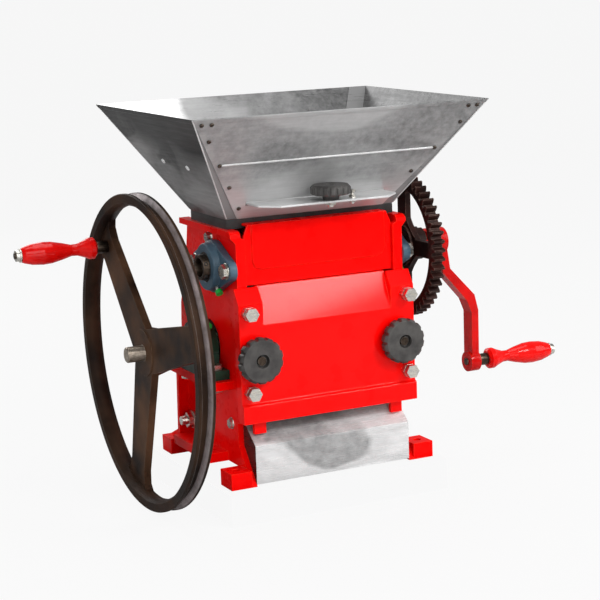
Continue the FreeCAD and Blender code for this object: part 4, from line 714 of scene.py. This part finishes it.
close_tree(screw_head, turned_copies(screw_head, start.outputs["Geometry"], head), start, end)

# %% Where the hopper's sheets lie: each is a plane from the rim down to the mouth
RIM_Z = 0.578
FRONT_LEAN, SIDE_LEAN = 0.7817, 0.6138  # metres inwards for each metre down
FRONT_RIM_Y, REAR_RIM_Y, SIDE_RIM_X = -0.218, 0.184, 0.247
INSET_LEAN = 0.7156  # rows of screws draw in a little faster than the corners do


def sheet_spot(face, across, depth, off=0.0):
    """A point on a hopper sheet: across it, a depth below the rim, and a distance off it."""
    if face in ("front", "rear"):
        sign = -1 if face == "front" else 1
        rim = FRONT_RIM_Y if face == "front" else REAR_RIM_Y
        out = Vector((0, sign, -FRONT_LEAN)).normalized()
        spot = Vector((across, rim - sign * depth * FRONT_LEAN, RIM_Z - depth))
    else:
        sign = -1 if face == "left" else 1
        out = Vector((sign, 0, -SIDE_LEAN)).normalized()
        spot = Vector((sign * (SIDE_RIM_X - depth * SIDE_LEAN), across, RIM_Z - depth))
    return spot + out * off, out


# %% Sheet screws down the hopper's corners, and rivets on its sides
EDGE_INSET, TOP_SCREW_INSET = 11 * MM, 33 * MM
SCREW_DEPTHS = [9 * MM, 35 * MM, 75 * MM, 112 * MM, 149 * MM]
SCREW_LIFT, RIVET_LIFT = 0.5 * MM, 0.4 * MM
RIVETS = ((26 * MM, 82 * MM), (-67 * MM, 85 * MM))  # each across a side sheet, and down it
seeds = []
for face in ("front", "rear"):
    for side in (-1, 1):
        for depth in SCREW_DEPTHS:
            half = SIDE_RIM_X - depth * INSET_LEAN - EDGE_INSET
            seeds.append(sheet_spot(face, side * half, depth, SCREW_LIFT))
        half = SIDE_RIM_X - TOP_SCREW_INSET
        seeds.append(sheet_spot(face, side * half, SCREW_DEPTHS[0], SCREW_LIFT))
pan_head = {"Radius": 0.0034, "Height": 0.0016, "Socket": 0.7}
grow("hopper_screws", screw_head, seeds, pan_head, dark_steel, "frame")
seeds = [sheet_spot(face, *spot, RIVET_LIFT) for face in ("left", "right") for spot in RIVETS]
rivet = {"Radius": 0.0042, "Height": 0.0018}
grow("hopper_side_rivets", screw_head, seeds, rivet, bright_dab, "frame")

# %% Set screws in the collars of the bearing rings, two to a collar
COLLAR_R, COLLAR_X, SET_SCREW_LIFT = 20 * MM, 172.5 * MM, 0.2 * MM
SET_SCREW_TURNS = (158, 218)  # degrees round the shaft


def collar_screws(centre, sides):
    spots = []
    for side in sides:
        for degrees in SET_SCREW_TURNS:
            lean = math.radians(degrees)
            out = Vector((0, math.cos(lean), math.sin(lean)))
            at = centre + out * (COLLAR_R + SET_SCREW_LIFT)
            spots.append((Vector((side * COLLAR_X, at.y, at.z)), out))
    return spots


set_screw = {"Sides": 10, "Radius": 0.0034, "Height": 0.0012, "Crown": 0.92, "Socket": 1.4}
for name, centre, sides, body in (
    ("feed_ring_screws", FEED, (-1,), "feed"),
    ("drum_ring_screws", SHAFT, (-1, 1), "drum"),
):
    seeds = collar_screws(centre, sides)
    grow(name, screw_head, seeds, set_screw, seal_rubber, body)

# %% [markdown]
# ### Threads
# The tie rod's ends stand out of their nuts and show their thread. A spiral curve with a
# three-sided profile winds round each one. It is thinner than a cut thread, but it catches the
# light in the same way.

# %% A tree for threads
thread, start, end = geometry_tree(
    "thread", [("Radius", 0.006), ("Length", 0.01), ("Pitch", 0.0016), ("Depth", 0.0007)]
)
turns = calc(thread, "DIVIDE", start.outputs["Length"], start.outputs["Pitch"])
helix = add(
    thread,
    "GeometryNodeCurveSpiral",
    [
        ("Resolution", 20),
        ("Rotations", turns),
        ("Start Radius", start.outputs["Radius"]),
        ("End Radius", start.outputs["Radius"]),
        ("Height", start.outputs["Length"]),
    ],
)
links = [("Resolution", 3), ("Radius", start.outputs["Depth"])]
ridge = add(thread, "GeometryNodeCurvePrimitiveCircle", links)
links = [("Curve", helix.outputs[0]), ("Profile Curve", ridge.outputs[0]), ("Fill Caps", True)]
wound = add(thread, "GeometryNodeCurveToMesh", links).outputs[0]
close_tree(thread, turned_copies(thread, start.outputs["Geometry"], wound), start, end)

# %% Threads on the tie rod's ends
TIE_END, TIE_OUT, TIE_Y, TIE_Z = 166 * MM, 9 * MM, 86 * MM, 60 * MM
seeds = [
    (Vector((side * (TIE_END - TIE_OUT), TIE_Y, TIE_Z)), Vector((side, 0, 0))) for side in (-1, 1)
]
tie_thread = {"Radius": 0.0069, "Length": 0.0085, "Depth": 0.0004}
grow("tie_rod_threads", thread, seeds, tie_thread, zinc, "frame")

# %% [markdown]
# ### Drum bumps
# The drum's sheet is embossed with rows of small pointed bumps that grip the cherries. A flat
# grid of points is rolled up round the shaft by its own coordinates, every second row is
# shifted by half a step, and each point gets a low bump with five sides, since there are well
# over a thousand of them.

# %% A tree that rolls a grid into a drum
bumps, start, end = geometry_tree(
    "drum_bumps",
    [("Radius", 0.098), ("Length", 0.24), ("Rows", 52), ("Columns", 25), ("Bump", 0.0026)],
)
grid = add(
    bumps,
    "GeometryNodeMeshGrid",
    [
        ("Size X", start.outputs["Length"]),
        ("Size Y", 1.0),
        ("Vertices X", start.outputs["Columns"]),
        ("Vertices Y", start.outputs["Rows"]),
    ],
)
flat = axes(bumps, add(bumps, "GeometryNodeInputPosition").outputs[0])
gaps = calc(bumps, "SUBTRACT", start.outputs["Rows"], 1.0)
turned = calc(bumps, "MULTIPLY", flat["Y"], calc(bumps, "DIVIDE", gaps, start.outputs["Rows"]))
angle = calc(bumps, "MULTIPLY", turned, math.tau)
row = calc(bumps, "ROUND", calc(bumps, "MULTIPLY", calc(bumps, "ADD", flat["Y"], 0.5), gaps))
odd = calc(bumps, "MODULO", row, 2.0)
step = calc(bumps, "DIVIDE", start.outputs["Length"], start.outputs["Columns"])
half_step = calc(bumps, "MULTIPLY", step, 0.5)
shift = calc(bumps, "MULTIPLY", calc(bumps, "SUBTRACT", odd, 0.5), half_step)
outward = add(
    bumps,
    "ShaderNodeCombineXYZ",
    [(0, 0.0), (1, calc(bumps, "COSINE", angle)), (2, calc(bumps, "SINE", angle))],
)
rolled = add(
    bumps,
    "ShaderNodeCombineXYZ",
    [
        (0, calc(bumps, "ADD", flat["X"], shift)),
        (1, calc(bumps, "MULTIPLY", calc(bumps, "COSINE", angle), start.outputs["Radius"])),
        (2, calc(bumps, "MULTIPLY", calc(bumps, "SINE", angle), start.outputs["Radius"])),
    ],
)
links = [("Vector", outward.outputs[0])]
aligned = add(bumps, "FunctionNodeAlignRotationToVector", links, axis="Z").outputs[0]
tooth = add(
    bumps,
    "GeometryNodeMeshCone",
    [
        ("Vertices", 5),
        ("Radius Top", 0.0005),
        ("Radius Bottom", start.outputs["Bump"]),
        ("Depth", calc(bumps, "MULTIPLY", start.outputs["Bump"], 0.75)),
    ],
    fill_type="NGON",
)
links = [("Geometry", grid.outputs[0]), ("Name", "turn"), ("Value", aligned)]
kept = add(bumps, "GeometryNodeStoreNamedAttribute", links, data_type="QUATERNION", domain="POINT")
links = [("Geometry", kept.outputs[0]), ("Position", rolled.outputs[0])]
moved = add(bumps, "GeometryNodeSetPosition", links).outputs[0]
turn = add(bumps, "GeometryNodeInputNamedAttribute", [("Name", "turn")], data_type="QUATERNION")
links = [("Points", moved), ("Instance", tooth.outputs[0]), ("Rotation", turn.outputs[0])]
studded = add(bumps, "GeometryNodeInstanceOnPoints", links).outputs[0]
lifted = add(bumps, "GeometryNodeTransform", [(0, studded), ("Translation", SHAFT)])
close_tree(bumps, lifted.outputs[0], start, end)

# %% Bumps on the drum
drum_low, drum_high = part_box("drum_sleeve")
drum_r = (drum_high[2] - drum_low[2]) / 2
on_drum = {"Radius": drum_r - 0.1 * MM}
grow("drum_bumps", bumps, [((0, 0, 0), (0, 0, 1))], on_drum, drum_sheet, "drum")

# %% [markdown]
# ## Beads, folds, hems, washers and seals
# A bead, a fold and a hem follow a straight edge, and washers and seals are turned. All are
# quick to build from a closed section: the strips carry it along an edge, and the turned parts
# carry it round.


# %% Helpers that carry a closed section
def skin_rings(name, rings, closed):
    """Joins rings of points, each with as many points as the next, into one outward-facing mesh."""
    form = bmesh.new()
    rows = [[form.verts.new(point) for point in ring] for ring in rings]
    count = len(rows[0])
    for k in range(len(rows) - (0 if closed else 1)):
        near, far = rows[k], rows[(k + 1) % len(rows)]
        for j in range(count):
            form.faces.new((near[j], near[(j + 1) % count], far[(j + 1) % count], far[j]))
    if not closed:
        form.faces.new(rows[0])
        form.faces.new(list(reversed(rows[-1])))
    bmesh.ops.remove_doubles(form, verts=form.verts, dist=0.00001)
    bmesh.ops.recalc_face_normals(form, faces=form.faces)
    mesh = bpy.data.meshes.new(name)
    form.to_mesh(mesh)
    form.free()
    return mesh


def turned_rings(name, parts, segments=40):
    """Washers and seals round the X axis: each is (y, z, section), with points (x, radius)."""
    form = bmesh.new()
    for y, z, section in parts:
        rings = []
        for k in range(segments):
            lean = k * math.tau / segments
            rings.append([(x, y + r * math.cos(lean), z + r * math.sin(lean)) for x, r in section])
        form.from_mesh(skin_rings(name + "_part", rings, True))
    mesh = bpy.data.meshes.new(name)
    form.to_mesh(mesh)
    form.free()
    return bpy.data.objects.new(name, mesh)


def oval(centre, flat, out, half, rise, count, lowest=-1.0):
    """Points round a centre: half as wide along flat, and rise as high along out."""
    ring = []
    for k in range(count):
        lean = k * math.tau / count
        ring.append(
            centre + flat * math.cos(lean) * half + out * max(math.sin(lean), lowest) * rise
        )
    return ring


def strip(name, rings, material):
    """A closed strip of the hopper's sheet along rings of points."""
    obj = bpy.data.objects.new(name, skin_rings(name, rings, False))
    keep_piece(obj, "frame", material)


# %% A pressed bead across the hopper's front and rear sheets, in the lighter gate finish as a painted highlight
BEAD_DEPTH, BEAD_R, BEAD_HALF = 75 * MM, 1.7 * MM, 183 * MM
# Shares of the bead's half length, and of its radius there: it runs out at both ends
BEAD_SHAPE = ((-1.0, 0.15), (-0.985, 0.8), (-0.96, 1.0), (0.96, 1.0), (0.985, 0.8), (1.0, 0.15))
for face in ("front", "rear"):
    rings = []
    for across, share in BEAD_SHAPE:
        centre, out = sheet_spot(face, across * BEAD_HALF, BEAD_DEPTH)
        down = out.cross(Vector((1, 0, 0)))
        rings.append(oval(centre, down, out, BEAD_R * share, BEAD_R * share, 10, -0.3))
    strip("hopper_bead_" + face, rings, gate_sheet)

# %% The fold down each corner, where a side sheet turns on to the front or the rear one, in the lighter gate finish as a painted highlight
FOLD_R, FOLD_INSET = 1.1 * MM, 0.6 * MM
FOLD_ENDS = (1 * MM, 165 * MM)  # depths below the rim
for face in ("front", "rear"):
    for name, side in (("left", -1), ("right", 1)):
        rings = []
        for depth in FOLD_ENDS:
            across = side * (SIDE_RIM_X - FOLD_INSET - depth * SIDE_LEAN)
            centre, out = sheet_spot(face, across, depth)
            rings.append(oval(centre, Vector((1, 0, 0)), out, FOLD_R, FOLD_R * 0.5, 8))
        strip("hopper_fold_" + face + "_" + name, rings, gate_sheet)

# %% A narrow folded hem along each rim edge
HEM_START, HEM_THICK = 0.4 * MM, 0.9 * MM
# Each point is a distance down the sheet in mm, and a share of the thickness off it
HEM_SECTION = ((0.0, 0.05), (0.0, 0.6), (0.4, 1.0), (5.0, 1.0), (5.5, 0.6), (5.5, 0.05))
RIM_MID_Y, RIM_HALF_Y = (REAR_RIM_Y + FRONT_RIM_Y) / 2, (REAR_RIM_Y - FRONT_RIM_Y) / 2
wide = (0.0, SIDE_RIM_X - 1 * MM, INSET_LEAN)
deep = (RIM_MID_Y, RIM_HALF_Y - 1.5 * MM, FRONT_LEAN)
for face, material, (middle, half, lean) in (
    ("front", polished_sheet, wide),
    ("rear", inner_sheet, wide),
    ("left", shaded_left_sheet, deep),
    ("right", side_inner_sheet, deep),
):
    rings = []
    for side in (-1, 1):
        ring = []
        for down, share in HEM_SECTION:
            depth = HEM_START + down * MM
            across = middle + side * (half - depth * lean)
            ring.append(sheet_spot(face, across, depth, share * HEM_THICK)[0])
        rings.append(ring)
    strip("hopper_hem_" + face, rings, material)

# %% Seals in the bearings
UPPER_SEAL_X, LOWER_SEAL_X = 167.3 * MM, 177.3 * MM
# The seal's section: mm in from the housing's outer face, and radius in mm
SEAL_SECTION = ((3, 20.2), (0.8, 20.2), (0.2, 21.2), (0.9, 22.2), (0.9, 23.3), (3, 23.3))


def seal_section(face_x, side):
    """A rubber seal with one rib, just inside a housing's outer face."""
    return [(face_x - side * inwards * MM, radius * MM) for inwards, radius in SEAL_SECTION]


parts = []
for side in (-1, 1):
    parts.append((FEED.y, FEED.z, seal_section(side * UPPER_SEAL_X, side)))
    parts.append((SHAFT.y, SHAFT.z, seal_section(side * LOWER_SEAL_X, side)))
keep_piece(turned_rings("bearing_seals", parts), "frame", seal_rubber)

# %% Washers under the bolts of the upper bearings, the hopper and the cover
HOUSING_FACE_X, FRAME_FACE_X = 157 * MM, 144 * MM
BEARING_BOLT_Y = 58.5 * MM
HOPPER_BOLT_AT, LOW_BOLT_AT = (-20 * MM, 377 * MM), (-73 * MM, 88 * MM)
CORNER = 0.6 * MM


def washer_section(face_x, side, inner, outer, thick):
    """A flat washer on a face, with its outer corner cut off. Radii and thickness are in mm."""
    inner, outer, edge = inner * MM, outer * MM, face_x + side * thick * MM
    return [
        (face_x, inner),
        (edge, inner),
        (edge, outer - CORNER),
        (edge - side * CORNER, outer),
        (face_x, outer),
    ]


parts = []
for side in (-1, 1):
    for y in (FEED.y - BEARING_BOLT_Y, FEED.y + BEARING_BOLT_Y):
        parts.append((y, FEED.z, washer_section(side * HOUSING_FACE_X, side, 7, 13, 1.6)))
    parts.append((*HOPPER_BOLT_AT, washer_section(side * FRAME_FACE_X, side, 5, 10.5, 1.6)))
    parts.append((*LOW_BOLT_AT, washer_section(side * FRAME_FACE_X, side, 5, 9.5, 1.2)))
keep_piece(turned_rings("bolt_washers", parts, 28), "frame", zinc)

# %% [markdown]
# ## Stage, light and camera
# The feet stand on a low pale block, because the flywheel reaches below them: such a machine is
# bolted to a bench or a stand and its wheel turns beside it. Floor and block are a plain white
# that keeps a soft shadow. Big soft lamps and a pale sky give even light, and a smaller lamp on
# the right makes the glare on the cover's slope.


# %% Stage
SEEN_WHITE, SEEN_SHARE = 0.975, 0.94  # what the camera sees of the floor: mostly this white
BLOCK_X, BLOCK_Y, BLOCK_TOP = 0.19, 0.165, -0.0002
FLOOR_X, FLOOR_DROP, FLOOR_THICK = 60, 0.002, 0.01


def stage_material(name, level):
    mat = bpy.data.materials.new(name)
    mat.use_nodes = True
    tree = mat.node_tree
    shader = tree.nodes["Principled BSDF"]
    shader.inputs["Base Color"].default_value = (level, level, level, 1.0)
    shader.inputs["Roughness"].default_value = 0.9
    shader.inputs["Specular IOR Level"].default_value = 0.1
    light = [("Color", (SEEN_WHITE, SEEN_WHITE, SEEN_WHITE, 1.0)), ("Strength", 1.0)]
    glow = add(tree, "ShaderNodeEmission", light)
    path = add(tree, "ShaderNodeLightPath")
    seen = calc(tree, "MAXIMUM", path.outputs["Is Camera Ray"], path.outputs["Is Transmission Ray"])
    share = calc(tree, "MULTIPLY", seen, SEEN_SHARE)
    links = [(0, share), (1, shader.outputs[0]), (2, glow.outputs[0])]
    mix = add(tree, "ShaderNodeMixShader", links)
    tree.links.new(mix.outputs[0], tree.nodes["Material Output"].inputs["Surface"])
    return mat


def stage_box(name, low, high, material):
    mesh = bpy.data.meshes.new(name)
    form = bmesh.new()
    bmesh.ops.create_cube(form, size=1.0)
    for vert in form.verts:
        vert.co = [low[i] + (vert.co[i] + 0.5) * (high[i] - low[i]) for i in range(3)]
    form.to_mesh(mesh)
    form.free()
    mesh.materials.append(material)
    obj = bpy.data.objects.new(name, mesh)
    bpy.context.scene.collection.objects.link(obj)


white = stage_material("studio_white", 0.5)
block_white = stage_material("block_white", 0.3)
floor_z = cad_low.z - FLOOR_DROP
floor_low = (-FLOOR_X, -FLOOR_X, floor_z - FLOOR_THICK)
stage_box("floor", floor_low, (FLOOR_X, FLOOR_X, floor_z), white)
block_low = (-BLOCK_X, -BLOCK_Y, floor_z)
stage_box("bench_block", block_low, (BLOCK_X, BLOCK_Y, BLOCK_TOP), block_white)
print("floor at", round(floor_z, 4), "m")

# %% World: a pale sky that is a little darker overhead, so that metal has something to show
world = bpy.data.worlds.new("studio")
bpy.context.scene.world = world
world.use_nodes = True
tree = world.node_tree
tree.nodes.clear()
direction = add(tree, "ShaderNodeTexCoord").outputs["Generated"]
height = add(tree, "ShaderNodeSeparateXYZ", [(0, direction)]).outputs["Z"]
sky = add(tree, "ShaderNodeValToRGB", [("Fac", spread(tree, height, -0.2, 1.0))])
sky.color_ramp.elements[0].color = (0.95, 0.95, 0.95, 1)
sky.color_ramp.elements[1].color = (0.42, 0.42, 0.43, 1)
dim = sky.color_ramp.elements.new(0.35)
dim.color = (0.8, 0.8, 0.8, 1)
shine = add(tree, "ShaderNodeBackground", [("Color", sky.outputs[0]), ("Strength", 0.45)])
plain = add(tree, "ShaderNodeBackground", [("Color", (0.93, 0.93, 0.93, 1)), ("Strength", 1.0)])
seen = add(tree, "ShaderNodeLightPath").outputs["Is Camera Ray"]
both = add(tree, "ShaderNodeMixShader", [(0, seen), (1, shine.outputs[0]), (2, plain.outputs[0])])
add(tree, "ShaderNodeOutputWorld", [("Surface", both.outputs[0])])


# %% Lamps
def lamp(name, at, towards, size, watts):
    data = bpy.data.lights.new(name, "AREA")
    data.shape = "RECTANGLE"
    data.size, data.size_y = size
    data.energy = watts
    obj = bpy.data.objects.new(name, data)
    obj.location = at
    obj.rotation_euler = (Vector(towards) - Vector(at)).to_track_quat("-Z", "Y").to_euler()
    bpy.context.scene.collection.objects.link(obj)


lamp("front_softbox", (-0.5, -2.6, 1.9), (0, 0, 0.25), (1.6, 1.4), 27)
lamp("left_fill", (-2.6, -0.9, 1.0), (0, 0, 0.25), (1.2, 1.6), 15)
lamp("low_softbox", (-0.3, -2.4, 0.32), (0, 0, 0.15), (1.6, 0.5), 9)
lamp("right_softbox", (2.3, -1.3, 1.3), (0, 0, 0.25), (1.2, 1.6), 20)
lamp("glare_lamp", (0.92, -1.55, 1.42), (0, -0.125, 0.28), (0.62, 0.44), 22)
lamp("top_softbox", (0.2, 0.2, 2.6), (0, 0, 0.2), (2.0, 1.6), 34)
lamp("rear_softbox", (-0.4, 2.6, 1.5), (0, 0, 0.25), (1.8, 1.2), 24)

# %% Camera: where the photograph was taken from, with its own small tilt
camera_data = bpy.data.cameras.new("camera")
camera_data.lens = 106.016
camera_data.sensor_width = 36.0
camera_data.shift_x = -0.04335
camera_data.shift_y = 0.03512
camera_data.clip_end = 200
camera = bpy.data.objects.new("camera", camera_data)
yaw, pitch, roll = 0.462974, 0.201673, -0.033104
ahead = Vector((math.sin(yaw) * math.cos(pitch), math.cos(yaw) * math.cos(pitch), -math.sin(pitch)))
right = Vector((math.cos(yaw), -math.sin(yaw), 0))
over = right.cross(ahead)
side = right * math.cos(roll) + over * math.sin(roll)
top = over * math.cos(roll) - right * math.sin(roll)
turn = Matrix((side, top, -ahead)).transposed()
camera.matrix_world = Matrix.Translation((-1.205054, -2.540872, 0.794514)) @ turn.to_4x4()
bpy.context.scene.collection.objects.link(camera)
bpy.context.scene.camera = camera
bpy.context.scene.view_settings.view_transform = "Standard"
